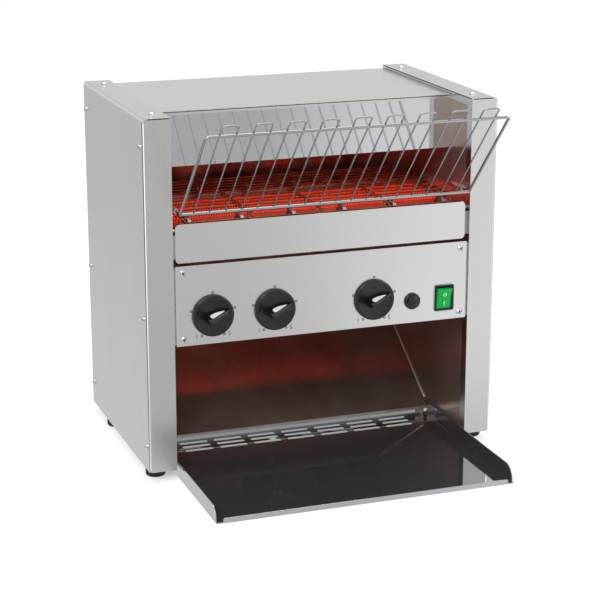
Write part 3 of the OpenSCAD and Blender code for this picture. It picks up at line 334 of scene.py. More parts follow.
@once
def painted_bend_lines(colours):
    """Satin sheet on the casing's bends with painted light: a bent edge shows a dark line, a painted reflection of dark
    surroundings, and a light one, a painted highlight."""
    # near-white painted highlight for the bends, and a dimmer one for the top bends
    bright = linear("#F0F0EE")
    made, tree = started("stainless with painted bend highlight and shade", bright)
    forward = add(tree, "SeparateXYZ", [add(tree, "NewGeometry", out="Normal")], "Y")
    # the top bends never face forward and get a dimmer painted highlight; on the upright ones the painted dark line
    # lies where the sheet has turned less than about 35 degrees from the side to the front
    upright = add(tree, "MapRange", (forward, -0.06, -0.02, 1, 0))
    line = add(tree, "Math", (add(tree, "MapRange", (forward, -0.64, -0.56)), upright), operation="MULTIPLY")
    bend_highlight_tone = add(tree, "Mix", {0: upright, 6: linear("#D8D8D6"), 7: bright}, 2, data_type="RGBA")
    # the dark grey is a painted reflection of dark surroundings, laid along the upright bends
    return finished(made, {"Base Color": [line, bend_highlight_tone, linear("#4E4E50")], "Metallic": 1.0,
                           "Roughness": [grain(tree, (30, 30, 30)), 0.07, 0.13]})


@once
def pale_edge_highlight(colours):
    """Sheared and tumbled sheet edge: matt, scatters light to every side; its pale near-white tone is a painted
    highlight.
    """
    made, tree = started("stainless edge with painted highlight", linear("#F4F2EE"))
    nick = grain(tree, (900, 900, 900))
    return finished(made, {"Base Color": linear("#F4F2EE"), "Metallic": 0.3, "Roughness": [nick, 0.45, 0.65],
                           "Normal": [nick, 0.02 * MM]})


@once
def heat_tinted_stainless(colours):
    """Stainless sheet that has been hot for long: straw to brown and blue temper colours over a dull mirror."""
    made, tree = started("heat-tinted stainless", colours.mirror)
    cloud = grain(tree, (16, 16, 10), 3.0, 0.6)
    straw = add(tree, "Mix", {0: add(tree, "MapRange", (cloud, 0.35, 0.6)), 6: linear("#B79F86"), 7: linear("#8F6F5E")},
                2, data_type="RGBA")
    blue = [add(tree, "MapRange", (cloud, 0.58, 0.72)), straw, linear("#6E6C80")]
    return finished(made, {"Base Color": blue, "Metallic": 1.0,
                           "Roughness": [grain(tree, (40, 40, 40), 3.0), 0.16, 0.3]})


@once
def baked_reflector(colours):
    """Reflector under the belt, baked brown: dark red-brown, dull, paler where it was last wiped."""
    made, tree = started("baked-on stainless reflector", linear("#6E4438"))
    crust = grain(tree, (45, 45, 45), 4.0, 0.65)
    tone = [add(tree, "MapRange", (crust, 0.3, 0.7)), linear("#3E2620"), linear("#855346")]
    return finished(made, {"Base Color": tone, "Metallic": 1.0, "Roughness": [crust, 0.55, 0.3],
                           "Normal": [crust, 0.1 * MM]})


@once
def galvanised_steel(colours):
    """Hot-dip zinc coated sheet: pale grey crystals a few millimetres across."""
    made, tree = started("galvanised steel", colours.galvanised)
    # spangle of about 5 mm
    where = add(tree, "TexCoord", out="Object")
    cell = add(tree, "SeparateColor", [add(tree, "TexVoronoi", {"Vector": where, "Scale": 1 / (5 * MM)}, "Color")])
    return finished(made, {"Base Color": [cell, shade(colours.galvanised, 0.8), shade(colours.galvanised, 1.1)],
                           "Metallic": 1.0, "Roughness": add(tree, "MapRange", (cell, 0, 1, 0.34, 0.52))})


@once
def bright_plating(colours):
    """Nickel and chrome on drawn wire: a sharp, slightly bluish mirror with faint drawing marks."""
    made, tree = started("chrome plated wire", colours.bright_wire)
    spots = grain(tree, (400, 400, 400), 3.0)
    return finished(made, {"Base Color": colours.bright_wire, "Metallic": 1.0, "Roughness": [spots, 0.08, 0.2],
                           "Normal": [spots, 0.01 * MM]})


@once
def zinc_screw(colours):
    """Bright zinc on a pressed head: silvery, duller than chrome, slightly cloudy."""
    made, tree = started("bright zinc plated steel", linear("#DADCDD"))
    cloud = grain(tree, (500, 500, 500), 3.0)
    return finished(made, {"Base Color": [cloud, linear("#C8CACC"), linear("#ECEDEE")], "Metallic": 1.0,
                           "Roughness": [cloud, 0.14, 0.28]})


@once
def browned_wire(colours):
    """Stainless spring wire oxidised by heat: brown, duller in patches, with specks of dark scale."""
    brown = colours.hot_wire
    made, tree = started("heat-browned stainless wire", brown)
    patch = grain(tree, (60, 60, 60), 4.0, 0.65)
    tone = [add(tree, "MapRange", (patch, 0.3, 0.7)), shade(brown, 0.55), shade(brown, 1.3)]
    return finished(made, {"Base Color": tone, "Metallic": 1.0, "Roughness": [patch, 0.5, 0.28],
                           "Normal": [grain(tree, (900, 900, 900)), 0.03 * MM]})


@once
def cut_steel(colours, hex_colour, rough):
    """Machined or laser-cut steel: grey, fine turning marks, a film of oil that varies the gloss."""
    base = linear(hex_colour)
    made, tree = started("machined steel " + hex_colour[1:], base)
    # tool marks of about 0.3 mm
    film, marks = grain(tree, (70, 70, 70), 3.0), grain(tree, [1 / (0.3 * MM)] * 3, 1.0)
    return finished(made, {"Base Color": [film, shade(base, 0.8), shade(base, 1.12)], "Metallic": 1.0,
                           "Roughness": [film, rough - 0.08, rough + 0.1], "Normal": [marks, 0.01 * MM]})


@once
def cast_metal(colours, hex_colour):
    """Die-cast or sintered metal: matt, slightly pebbled skin."""
    base = linear(hex_colour)
    made, tree = started("cast metal " + hex_colour[1:], base)
    # pebbles of about 0.8 mm
    skin = grain(tree, [1 / (0.8 * MM)] * 3)
    return finished(made, {"Base Color": [grain(tree, (45, 45, 45)), shade(base, 0.86), shade(base, 1.1)],
                           "Metallic": 1.0, "Roughness": [skin, 0.42, 0.58], "Normal": [skin, 0.05 * MM]})


@once
def moulded(colours, name, hex_colour, rough, gloss):
    """Moulded plastic: even colour with slight flow marks, a fine spark-eroded or polished skin."""
    base = linear(hex_colour)
    made, tree = started(name, base)
    # eroded skin, 0.35 mm grains so that they show
    flow, skin = grain(tree, (30, 30, 90), 3.0), grain(tree, [1 / (0.35 * MM)] * 3)
    return finished(made, {"Base Color": [flow, shade(base, 0.85), shade(base, 1.15)], "IOR": 1.55,
                           "Specular IOR Level": gloss, "Roughness": [skin, rough - 0.05, rough + 0.07],
                           "Normal": [skin, 0.01 * MM]})


@once
def screen_ink(colours):
    """Grey epoxy ink screened on the panel: matt, very slightly broken at its edges."""
    made, tree = started("screen printed ink", colours.ink)
    speck = [grain(tree, (2500, 2500, 2500), 1.0), shade(colours.ink, 0.8), shade(colours.ink, 1.3)]
    return finished(made, {"Base Color": speck, "Roughness": 0.55, "IOR": 1.5})


@once
def pointer_painted_reflection(colours):
    """White on the moulded pointer, which sits on the grip's upper flank: a painted reflection of the overhead light,
    satin, faintly grey in places.
    """
    made, tree = started("pointer white, painted reflection", colours.flank_reflection)
    thick = add(tree, "MapRange", (grain(tree, (700, 700, 700)), 0.3, 0.7))
    return finished(made, {"Base Color": [thick, shade(colours.flank_reflection, 0.9), colours.flank_reflection], "Roughness": 0.4,
                           "IOR": 1.5})


@once
def lit_lens(colours, part):
    """Tinted polycarbonate with a lamp behind it: glossy skin, slightly cloudy colour, light from inside."""
    base, glow = (colours.lens, 0.7) if part == "body" else (linear("#D8F5A0"), 0.5)
    made, tree = started("lit green polycarbonate " + part, colours.lens)
    tone = [grain(tree, (120, 120, 120), 1.0), shade(base, 0.75), shade(base, 1.15)]
    return finished(made, {"Base Color": tone, "Emission Color": tone, "Emission Strength": glow,
                           "Roughness": 0.2, "IOR": 1.58, "Specular IOR Level": 0.15})


@once
def foot_rubber(colours):
    """Moulded rubber: dull black with a dusty bloom."""
    made, tree = started("moulded rubber", colours.rubber)
    dust = add(tree, "MapRange", (grain(tree, (150, 150, 150), 4.0), 0.3, 0.7))
    return finished(made, {"Base Color": [dust, colours.rubber, linear("#2B2A29")], "Roughness": 0.8, "IOR": 1.52,
                           "Normal": [grain(tree, (1500, 1500, 1500), 1.0), 0.04 * MM]})


@once
def fused_quartz(colours):
    """Clear fused quartz tube with thin bright reflections; its reddish colour and faint red emission are painted glow
    of the coil inside.
    """
    made, tree = started("fused quartz", linear("#E08A70"))
    return finished(made, {"Base Color": linear("#E08A70"), "Roughness": 0.04, "IOR": 1.458,
                           "Alpha": [grain(tree, (25, 200, 200)), 0.08, 0.16], "Specular IOR Level": 0.25,
                           "Emission Color": linear("#FF1A08"), "Emission Strength": 0.2})


@once
def glowing_wire(colours, heat):
    """Resistance wire at work: orange-red light, a little darker between the turns."""
    made, tree = started(f"glowing resistance wire {heat}", colours.glow)
    turn = add(tree, "MapRange", (grain(tree, (20, 300, 300)), 0.3, 0.7))
    return finished(made, {"Base Color": colours.glow, "Metallic": 1.0, "Roughness": 0.5, "Emission Strength": heat,
                           "Emission Color": [turn, shade(colours.glow, 0.8), shade(colours.glow, 1.4)]})


@once
def fired_ceramic(colours):
    """Unglazed steatite: chalky cream with fine dark specks."""
    made, tree = started("unglazed steatite", colours.steatite)
    speck = add(tree, "MapRange", (grain(tree, (900, 900, 900)), 0.6, 0.8))
    return finished(made, {"Base Color": [speck, colours.steatite, linear("#9A9280")], "Roughness": 0.7, "IOR": 1.6,
                           "Normal": [speck, 0.02 * MM]})


@once
def mineral_wool(colours):
    """Pressed mineral fibre board: matt, felted, buff with brown binder clouds."""
    made, tree = started("mineral fibre board", linear("#C9BFA2"))
    felt = grain(tree, (400, 400, 1200), 5.0, 0.7)
    tone = [add(tree, "MapRange", (felt, 0.3, 0.7)), linear("#A8997A"), linear("#D5CCB4")]
    return finished(made, {"Base Color": tone, "Roughness": 0.95, "Sheen Weight": 0.3, "Normal": [felt, 0.4 * MM]})


@once
def circuit_board(colours):
    """Glass-fibre board under green solder resist: glossy, with paler copper tracks under it."""
    made, tree = started("solder resist on board", colours.board)
    # tracks about 4 mm apart and 1 mm wide
    where = add(tree, "TexCoord", out="Object")
    track = add(tree, "TexVoronoi", {"Vector": where, "Scale": 1 / (4 * MM)}, feature="DISTANCE_TO_EDGE")
    tone = [add(tree, "MapRange", (track, 0.1, 0.16)), shade(colours.board, 1.6), colours.board]
    return finished(made, {"Base Color": tone, "Roughness": 0.25, "IOR": 1.55})


def dress(finish, *nodes):
    """Gives solids that keep their shape a better material."""
    for node in nodes:
        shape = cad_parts[node]
        if not shape.material_slots:
            shape.data.materials.append(finish)
        for place in shape.material_slots:
            place.material = finish


# ---- pieces ----

def middle(node):
    """Centre of a node's box."""
    low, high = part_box(node)
    return (low + high) / 2


def belt_track(s):
    """Place and outward normal at the distance s along the belt's loop: rear to front on top, half a turn, back,
    half a turn."""
    front, rear = middle("front_shaft"), middle("rear_shaft")
    run, r = rear.y - front.y, (rear.y - front.y) * BELT_RADIUS
    half = np.pi * r
    s = np.mod(s, 2 * (run + half))
    a, b = (s - run) / r, (s - 2 * run - half) / r
    spans = [s < run, s < run + half, s < 2 * run + half]
    y = np.select(spans, [rear.y - s, front.y - r * np.sin(a), front.y + s - run - half], rear.y + r * np.sin(b))
    z = np.select(spans, [front.z + r + 0 * s, front.z + r * np.cos(a), front.z - r + 0 * s], front.z - r * np.cos(b))
    ny = np.select(spans, [0 * s, -np.sin(a), 0 * s], np.sin(b))
    nz = np.select(spans, [1 + 0 * s, np.cos(a), -1 + 0 * s], -np.cos(b))
    return y, z, ny, nz


def belt_wire_path(sizes, half_width, hooks, pitch):
    """One strand as (x, ahead, above) points: straight across, with a hook at each place that goes over the next
    strand, round it and back under it, and a curled end at both edges."""
    # out clears the next strand, far is the hook's tip, and the hook is 2 leg wide at its root, 2 wide at its eye
    out, far = sizes.belt_wire + 0.05 * MM, pitch + sizes.belt_hook
    leg, wide = 2.2 * MM, 4.6 * MM
    hook = np.array([[-leg - 1.2 * MM, 0, 0], [-leg, 0.8 * MM, 0.1 * out], [-leg, 0.35 * pitch, 0.5 * out],
                     [-0.75 * wide, 0.75 * pitch, 0.95 * out], [-wide, pitch, out],
                     [-0.75 * wide, far - 0.3 * MM, 0.5 * out], [0, far, 0]])
    back = hook[-2::-1] * [-1, 1, -1]
    edge = half_width - sizes.belt_wire / 2
    end = np.array([[4.2 * MM, pitch - 3 * MM, -out], [4.6 * MM, pitch, -out], [4.8 * MM, far - 0.3 * MM, 0],
                    [4.4 * MM, pitch, out], [1.2 * MM, 0.6 * pitch, 0.8 * out], [0, 0.2 * pitch, 0.3 * out],
                    [0.5 * MM, 0.6 * MM, 0], [2 * MM, 0, 0]]) - edge * X
    whole = [end] + [np.concatenate([hook, back]) + x * X for x in hooks] + [end[::-1] * [-1, 1, 1]]
    return smooth(np.concatenate(whole), 3)


def coil_path(x, radius, pitch, y, z):
    """Helix along X: (x, y + r cos t, z + r sin t), t = 2 pi x / pitch; r runs to 0 over the 3 mm before the last
    9 mm at both ends."""
    reach = x[-1] - 9 * MM
    r = radius * np.clip((reach - abs(x)) / (3 * MM), 0, 1)
    t = 2 * np.pi * x / pitch
    way = np.stack([0 * t, np.cos(t), np.sin(t)], 1)
    return np.stack([x, y + r * np.cos(t), z + r * np.sin(t)], 1), way


def torus(centre, right, up, big, small, m=28, n=8):
    """Ring: centre + (R + r cos b)(cos a right + sin a up) + r sin b (right x up)."""
    a = np.linspace(0, 2 * np.pi, m, endpoint=False)[:, None, None]
    b = np.linspace(0, 2 * np.pi, n, endpoint=False)[None, :, None]
    out = np.cross(right, up)
    return grid(np.asarray(centre) + (big + small * np.cos(b)) * (np.cos(a) * right + np.sin(a) * up)
                + small * np.sin(b) * out, around=True, along=True)


def capsule(centre, right, up, half_w, half_h, thick, m=24, n=12):
    """Rounded bar: a superellipse outline |u|^4 + |v|^4 = 1 in the plane, with a half-round section."""
    a = np.linspace(0, 2 * np.pi, m, endpoint=False)[None, :, None]
    b = np.linspace(0, np.pi, n)[:, None, None]
    u = np.sign(np.cos(a)) * abs(np.cos(a)) ** 0.5 * np.sin(b)
    v = np.sign(np.sin(a)) * abs(np.sin(a)) ** 0.5 * np.sin(b)
    out = np.cross(right, up)
    return grid(np.asarray(centre) + half_w * u * right + half_h * v * up + thick * np.cos(b) * out, around=True)


def carried(section, way, start, end):
    """A closed section carried straight along a way from start to end, shut at its middle at both ends."""
    rings = section[None] + np.array([start, start, end, end])[:, None, None] * way
    rings[[0, -1]] = rings[[0, -1]].mean(1, keepdims=True)
    return grid(rings, around=True)


def arc(centre, start, end, radius, first, last):
    """Thin sickle: centre + r (cos a S + sin a E) from the first angle to the last, and back 0.08 mm further in."""
    a = np.radians(np.linspace(first, last, 16))[:, None]
    way = np.cos(a) * start + np.sin(a) * end
    return np.concatenate([centre + radius * way, centre + (radius - 0.08 * MM) * way[::-1]])


def corners(low, high):
    """Four corners of the rectangle between two points that share one coordinate."""
    low, high = np.array(low, float), np.array(high, float)
    first, last = np.flatnonzero(low != high)
    section = np.repeat(low[None], 4, 0)
    section[1:3, first], section[2:4, last] = high[first], high[last]
    return section


def turned(profile, around=64):
    """Surface of revolution about Z: each profile point (r, h) goes once round the axis."""
    profile = np.asarray(profile, float)
    a = np.linspace(0, 2 * np.pi, around, endpoint=False)[None, :]
    r, h = profile[:, :1], profile[:, 1:]
    return grid(np.stack([r * np.cos(a), r * np.sin(a), h + 0 * a], -1), around=True)


def knob_grip():
    """Grip of a pointer knob along +Y: at each station a trapezium with rounded corners, |x / w|^6 + |z / h|^6 = 1
    with w narrowing upwards, under a top line that climbs steeply at the back and falls to the tip."""
    y = np.concatenate([[-11, -11, -10.9, -10.7, -10.4, -10, -9.5, -8.8], np.linspace(-7.6, 17.2, 32),
                        [18.4, 19.5, 20.3, 20.8, 20.8]])
    top = np.interp(y, [-11, -10.9, -10.7, -10.4, -10, -9.5, -8.8, 16.6, 18.4, 20.3, 20.8],
                    [14, 18.5, 20.6, 22.2, 23.2, 23.7, 23.8, 11.7, 10.3, 7.4, 5.6])
    plan = np.interp(y, [-11, -10.7, -10, -9.4, 12, 21], [3.9, 4.7, 5.4, 5.7, 5.7, 2.3])
    scale = np.ones_like(y)
    scale[[0, -1]] = 0
    a = np.linspace(0, np.pi, 33)[None, :]
    up = np.sin(a) ** (1 / 3)
    across = np.sign(np.cos(a)) * abs(np.cos(a)) ** (1 / 3)
    wide = np.minimum(plan, 5.6)[:, None] + (np.minimum(plan, 3.4) - np.minimum(plan, 5.6))[:, None] * up
    x = wide * across * scale[:, None]
    z = 4 + (top[:, None] - 4) * up * scale[:, None]
    return grid(np.stack([x, y[:, None] + 0 * a, z], -1))


def on_panel(shape, centre, turn):
    """Takes a shape in mm with its axis along +Z to a place on the panel, turned about its own axis, facing the
    front."""
    points, faces = shape
    c, s = math.cos(turn), math.sin(turn)
    x, y = points[:, 0] * c - points[:, 1] * s, points[:, 0] * s + points[:, 1] * c
    return np.stack([centre[0] + x * MM, centre[1] - points[:, 2] * MM, centre[2] + y * MM], 1), faces


def by_ray(tree, lit, mirrored, looked_at):
    """One shader for the light on things, one for what a mirror shows, one for what the camera sees, also through
    glass."""
    rays = add(tree, "LightPath").node.outputs
    for ray, shader in (("Is Glossy Ray", mirrored), ("Is Transmission Ray", looked_at), ("Is Camera Ray", looked_at)):
        lit = add(tree, "MixShader", (rays[ray], lit, shader))
    return lit


class ToasterOperator:
    """What the operators share."""
    bl_options = {"REGISTER"}

    def execute(self, context):
        self.make(context.scene.toaster_sizes, context.scene.toaster_colours)
        return {"FINISHED"}


class TOASTER_OT_stage(ToasterOperator, bpy.types.Operator):
    """Camera, pale floor, white surroundings and soft studio lamps"""
    bl_idname, bl_label = "toaster.stage", "Stage"

    def make(self, sizes, colours):
        scene = bpy.context.scene
        scene.view_settings.view_transform = "Standard"
        lens = bpy.data.cameras.new("camera")
        lens.lens, lens.sensor_width, lens.clip_end = 111.76, 36, 50
        camera = bpy.data.objects.new("camera", lens)
        # fitted to the casing's corners; the two angles are how far it looks down and to the right
        down, right = 0.2778, 0.3449
        camera.location, camera.rotation_euler = (-0.7498, -2.0745, 0.8125), (math.pi / 2 - down, 0, -right)
        scene.collection.objects.link(camera)
        scene.camera = camera

        half = 4.0
        mesh = bpy.data.meshes.new("floor")
        mesh.from_pydata([(-half, -half, 0), (half, -half, 0), (half, half, 0), (-half, half, 0)], [], [(0, 1, 2, 3)])
        floor = bpy.data.objects.new("floor", mesh)
        scene.collection.objects.link(floor)
        floor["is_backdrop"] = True
        mesh.materials.append(self.paper())

        world = bpy.data.worlds.new("white studio")
        scene.world = world
        world.use_nodes = True
        tree = world.node_tree
        tree.nodes.clear()
        # strengths: soft light on the machine, the room that mirrors show, and the white that is seen behind it
        lit, mirrored, looked_at = (add(tree, "Background", (WHITE, strength)) for strength in (0.62, 0.84, 1.0))
        add(tree, "OutputWorld", [by_ray(tree, lit, mirrored, looked_at)])

        # (place, size, watts): key from the front left and above, fill from the right, top light
        heart = Vector((0, 0, 0.22))
        for name, place, size, watts in (("key", (-1.3, -1.9, 2.1), 1.4, 26), ("fill", (1.9, -1.4, 1.2), 1.2, 12),
                                         ("overhead", (0.2, 0.3, 2.4), 1.6, 16)):
            lamp = bpy.data.lights.new(name, "AREA")
            lamp.shape, lamp.size, lamp.energy = "DISK", size, watts
            stand = bpy.data.objects.new(name, lamp)
            stand.location = place
            stand.rotation_euler = (heart - Vector(place)).to_track_quat("-Z", "Y").to_euler()
            scene.collection.objects.link(stand)

    def paper(self):
        """White paper. Polished steel sees it as a studio floor does: lit more on the right, with a grey card on
        each side and a white one at the left, which draw the thin lines down a bent edge."""
        white, tree = started("white paper floor")
        x = add(tree, "SeparateXYZ", [add(tree, "TexCoord", out="Object")])
        y = x.node.outputs["Y"]
        beside = add(tree, "Math", [x], operation="ABSOLUTE")
        # lit so that each upright line on the machine's front has one tone from top to bottom: 0.36 is how far the
        # place that it mirrors moves to the right for each metre towards the camera
        across = add(tree, "Math", (y, 0.36, x), operation="MULTIPLY_ADD")
        level = add(tree, "Mix", {0: add(tree, "MapRange", (y, -0.45, 0)),
                                  2: add(tree, "MapRange", (across, -0.107, 0.163, 0.76, 1.23)),
                                  3: add(tree, "MapRange", (y, 0.1, 1.6, 0.86, 0.74))})
        # seen from a front corner of the casing, a grey card stands beside it and a white one before that; slope is
        # metres back from the corner over metres out from it
        out = add(tree, "Math", (beside, 0.2), operation="SUBTRACT")
        slope = add(tree, "Math", (add(tree, "Math", (y, 0.08)), out), operation="DIVIDE")
        away = add(tree, "MapRange", (out, 0.1, 0.25))
        cards = ((1.6, add(tree, "MapRange", (slope, -1.2, -0.8, 1, 0)), add(tree, "MapRange", (x, -0.5, -0.3, 1, 0))),
                 (0.4, add(tree, "MapRange", (slope, -0.6, -0.35)), add(tree, "MapRange", (slope, 0.9, 1.3, 1, 0))))
        for light, near_edge, far_edge in cards:
            card = add(tree, "Math", (near_edge, away), operation="MULTIPLY")
            card = add(tree, "Math", (card, far_edge), operation="MULTIPLY")
            level = add(tree, "Mix", {0: card, 2: level, 3: light})
        seen = add(tree, "Emission", (WHITE, level))
        # what the camera sees is paper lit from all sides, less so under the machine
        deep = add(tree, "Math", [add(tree, "Math", (y, 0.065), operation="SUBTRACT")], operation="ABSOLUTE")
        in_open = add(tree, "Math", (add(tree, "MapRange", (beside, 0.17, 0.225)),
                                     add(tree, "MapRange", (deep, 0.1, 0.15))), operation="MAXIMUM")
        plain = add(tree, "Emission", (WHITE, add(tree, "MapRange", (in_open, 0, 1, 0.3, 1.25))))
        paper = add(tree, "BsdfDiffuse", [linear("#F2F2F2")])
        lifted = add(tree, "MixShader", (0.66, paper, plain))
        add(tree, "OutputMaterial", [by_ray(tree, paper, seen, lifted)])
        return white


class TOASTER_OT_casing(ToasterOperator, bpy.types.Operator):
    """Satin casing, top, rear, guard and control panel"""
    bl_idname, bl_label = "toaster.casing", "Casing"

    def make(self, sizes, colours):
        # the same stainless in three tones is painted shade: sides darkest at 0.92, top 0.97, guard and control panel
        # 1.0
        dress(satin_stainless("z", 0.92), "side_casing_left", "side_casing_right", "rear_panel")
        dress(satin_stainless("x", 0.97), "top_panel")
        for node in ("guard_plate", "control_panel"):
            rounded(node, "casing", satin_stainless("x", 1.0), sizes.sheet_round, "satin_steel", soft=False)
        low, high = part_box("side_casing_right")
        cover_low, cover_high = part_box("top_panel")
        # what lies on a solid stands 0.02 or 0.03 mm proud of it
        bends, shade_strips = [], []
        for side in (-1, 1):
            upright = np.array([side * (high.x - 2 * MM), low.y + 2 * MM, 0])
            bends.append(carried(arc(upright, side * X, -Y, 2.03 * MM, 1, 88), Z,
                                 low.z + 2.6 * MM, high.z - 5.2 * MM))
            shoulder = np.array([side * (high.x - 5 * MM), 0, high.z - 5 * MM])
            bends.append(carried(arc(shoulder, side * X, Z, 5.03 * MM, 26, 50), Y,
                                 low.y + 2.4 * MM, high.y - 2.4 * MM))
            # the top flange meets the front flange, and its own lip, in an open seam: a near-black strip under the edge
            # is painted shade
            shade_strips.append(carried(corners((0, low.y - 0.02 * MM, high.z - 1.4 * MM),
                                         (0, low.y + 0.1 * MM, high.z - 0.3 * MM)), side * X,
                                 low.x + 1.5 * MM, high.x - 6 * MM))
            shade_strips.append(carried(corners((side * (low.x - 0.02 * MM), 0, high.z - 1.2 * MM),
                                         (side * (low.x + 0.1 * MM), 0, high.z - 0.2 * MM)), Y,
                                 low.y + 1.5 * MM, high.y - 2 * MM))
        # the top panel's front edge gets a pale rim: a painted highlight
        edge = np.array([0, cover_low.y + 0.9 * MM, cover_high.z - 0.9 * MM])
        ends = cover_low.x + 1 * MM, cover_high.x - 1 * MM
        rim = carried(arc(edge, -Y, Z, 0.93 * MM, 5, 88), X, *ends)
        # a near-black strip under the top panel's pale front rim: painted shade
        shade_strips.append(carried(corners((0, cover_low.y - 0.02 * MM, cover_high.z - 2 * MM),
                                     (0, cover_low.y + 0.1 * MM, cover_high.z - 1.1 * MM)), X, *ends))
        # thin strips over the casing's bends, with a painted dark line and a painted highlight
        piece("bends_with_painted_lines", joined(*bends), "casing", painted_bend_lines(), slot="satin_steel", crease=50)
        piece("cover_rim", rim, "casing", pale_edge_highlight(), slot="satin_steel")
        # the near-black finish on these strips is painted shade
        piece("painted_seam_shade", joined(*shade_strips), "casing", cut_steel("#1C1C1E", 0.6), slot="satin_steel", soft=False)
        dress(mirror_stainless(), "hood_plate")
        dress(galvanised_steel(), "base_pan", "corner_posts", "guard_brackets", "control_box", "motor_bracket")


class TOASTER_OT_lining(ToasterOperator, bpy.types.Operator):
    """Mirror walls, reflectors, rear guide and insulation"""
    bl_idname, bl_label = "toaster.lining", "Lining"

    def make(self, sizes, colours):
        dress(dulled_mirror(), "inner_wall_left", "inner_wall_right")
        dress(heat_tinted_stainless(), "top_reflector", "rear_guide")
        dress(baked_reflector(), "bottom_reflector")
        dress(mineral_wool(), "insulation_pad")


class TOASTER_OT_belt(ToasterOperator, bpy.types.Operator):
    """Wire belt of hooked strands, with its shafts, toothed wheels and bushes"""
    bl_idname, bl_label = "toaster.belt", "Belt"

    def make(self, sizes, colours):
        low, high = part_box("conveyor_belt")
        half_width, run = (high.x - low.x) / 2, middle("rear_shaft").y - middle("front_shaft").y
        pitch = 2 * run * (1 + np.pi * BELT_RADIUS) / sizes.strands
        strand = belt_wire_path(sizes, half_width, np.array([-0.5, 0, 0.5]) * half_width, pitch)
        strands = []
        for k in range(sizes.strands):
            y, z, ny, nz = belt_track(k * pitch + strand[:, 1])
            lift = strand[:, 2]
            path = np.stack([strand[:, 0], y + lift * ny, z + lift * nz], 1)
            strands.append(tube(path, np.stack([0 * ny, ny, nz], 1), sizes.belt_wire / 2, 6))
        piece("wire_belt", joined(*strands), "casing", browned_wire(), ("conveyor_belt",), "belt_wire")
        dress(cut_steel("#8E8D8B", 0.36), "front_belt_sprockets", "rear_belt_sprockets")
        dress(cut_steel("#A9A9A9", 0.24), "front_shaft", "rear_shaft", "motor_output_shaft")
        dress(cast_metal("#A5784A"), "shaft_bushes")


class TOASTER_OT_heaters(ToasterOperator, bpy.types.Operator):
    """Wound resistance wire in quartz tubes with ceramic caps"""
    bl_idname, bl_label = "toaster.heaters", "Heaters"

    def make(self, sizes, colours):
        low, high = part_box("heating_coils")
        turns = int((high.x - low.x) / sizes.coil_pitch)
        x = np.linspace(low.x, high.x, turns * 8 + 1)
        # each bank has its own heat control; the lower one is set low, and the coil at the mouth glows least
        for name, places, heat in (("front_coil", HEATER_PLACES[:1], 0.15), ("lower_coils", HEATER_PLACES[1:4], 1.4),
                                   ("upper_coils", HEATER_PLACES[4:7], 4.0), ("rear_coil", HEATER_PLACES[7:], 9.0)):
            wires = []
            for y, z in places:
                path, way = coil_path(x, sizes.coil_radius, sizes.coil_pitch, y * MM, z * MM)
                wires.append(tube(path, way, sizes.coil_wire / 2, 4))
            piece(name, joined(*wires), "casing", glowing_wire(heat), ("heating_coils",), "hot_coil")
        dress(fused_quartz(), "quartz_tubes")
        dress(fired_ceramic(), "ceramic_caps")


class TOASTER_OT_drive(ToasterOperator, bpy.types.Operator):
    """Motor, gearbox and roller chain"""
    bl_idname, bl_label = "toaster.drive", "Drive"

    def make(self, sizes, colours):
        dress(cut_steel("#5E5E60", 0.34), "drive_chain", "shaft_sprocket", "motor_sprocket")
        dress(cast_metal("#9A9C9E"), "gearbox")
        dress(cast_metal("#6F7275"), "motor")


class TOASTER_OT_controls(ToasterOperator, bpy.types.Operator):
    """Knobs, pointers, dial marks, digits and the regulators behind the panel"""
    bl_idname, bl_label = "toaster.controls", "Controls"

    def make(self, sizes, colours):
        black = moulded("phenolic moulded black", "#0D0D0E", 0.24, 0.4)
        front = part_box("control_panel")[0].y
        # skirt with a rolled rim and a face dished towards the grip
        skirt = turned([(3.2, 0.8), (24, 0.8), (24.7, 1.1), (25, 1.7), (25, 3.3), (24.8, 4.1), (24.3, 4.8), (23.6, 5.2),
                        (22.9, 5.35), (22.2, 5.3), (21.4, 5.05), (19, 4.75), (14, 4.4), (7, 4.2), (2, 4.2), (0, 4.2)])
        for dial in DIALS:
            centre = middle("spindle_" + dial)
            knob = on_panel(joined(skirt, knob_grip()), (centre.x, front, centre.z), math.radians(-75))
            piece("turned_knob_" + dial, knob, dial + "_control", black, ("knob_" + dial,), "knob_black", crease=50)
        # the pointers' white stands for the overhead light mirrored in the grips' upper flanks: painted reflection
        dress(pointer_painted_reflection(), *("pointer_" + dial for dial in DIALS))
        dress(cut_steel("#A9A9A9", 0.24), *("spindle_" + dial for dial in DIALS))
        dress(screen_ink(), "dial_marks")
        dress(moulded("phenolic moulded ivory", "#D8CFB4", 0.45, 0.5), "heat_regulators", "terminal_block")
        dress(circuit_board(), "speed_regulator")
        upright = Euler((math.pi / 2, 0, 0)).to_matrix().to_4x4()
        for dial in DIALS:
            centre = middle("spindle_" + dial)
            for digit, side in (("1", -1), ("5", 1)):
                place = Vector((centre.x + side * 20 * MM, front - 0.03 * MM, centre.z - 24.3 * MM))
                printed(f"digit_{dial}_{digit}", digit, sizes.digit_height, Matrix.Translation(place) @ upright,
                        "casing", screen_ink(), "print_ink")


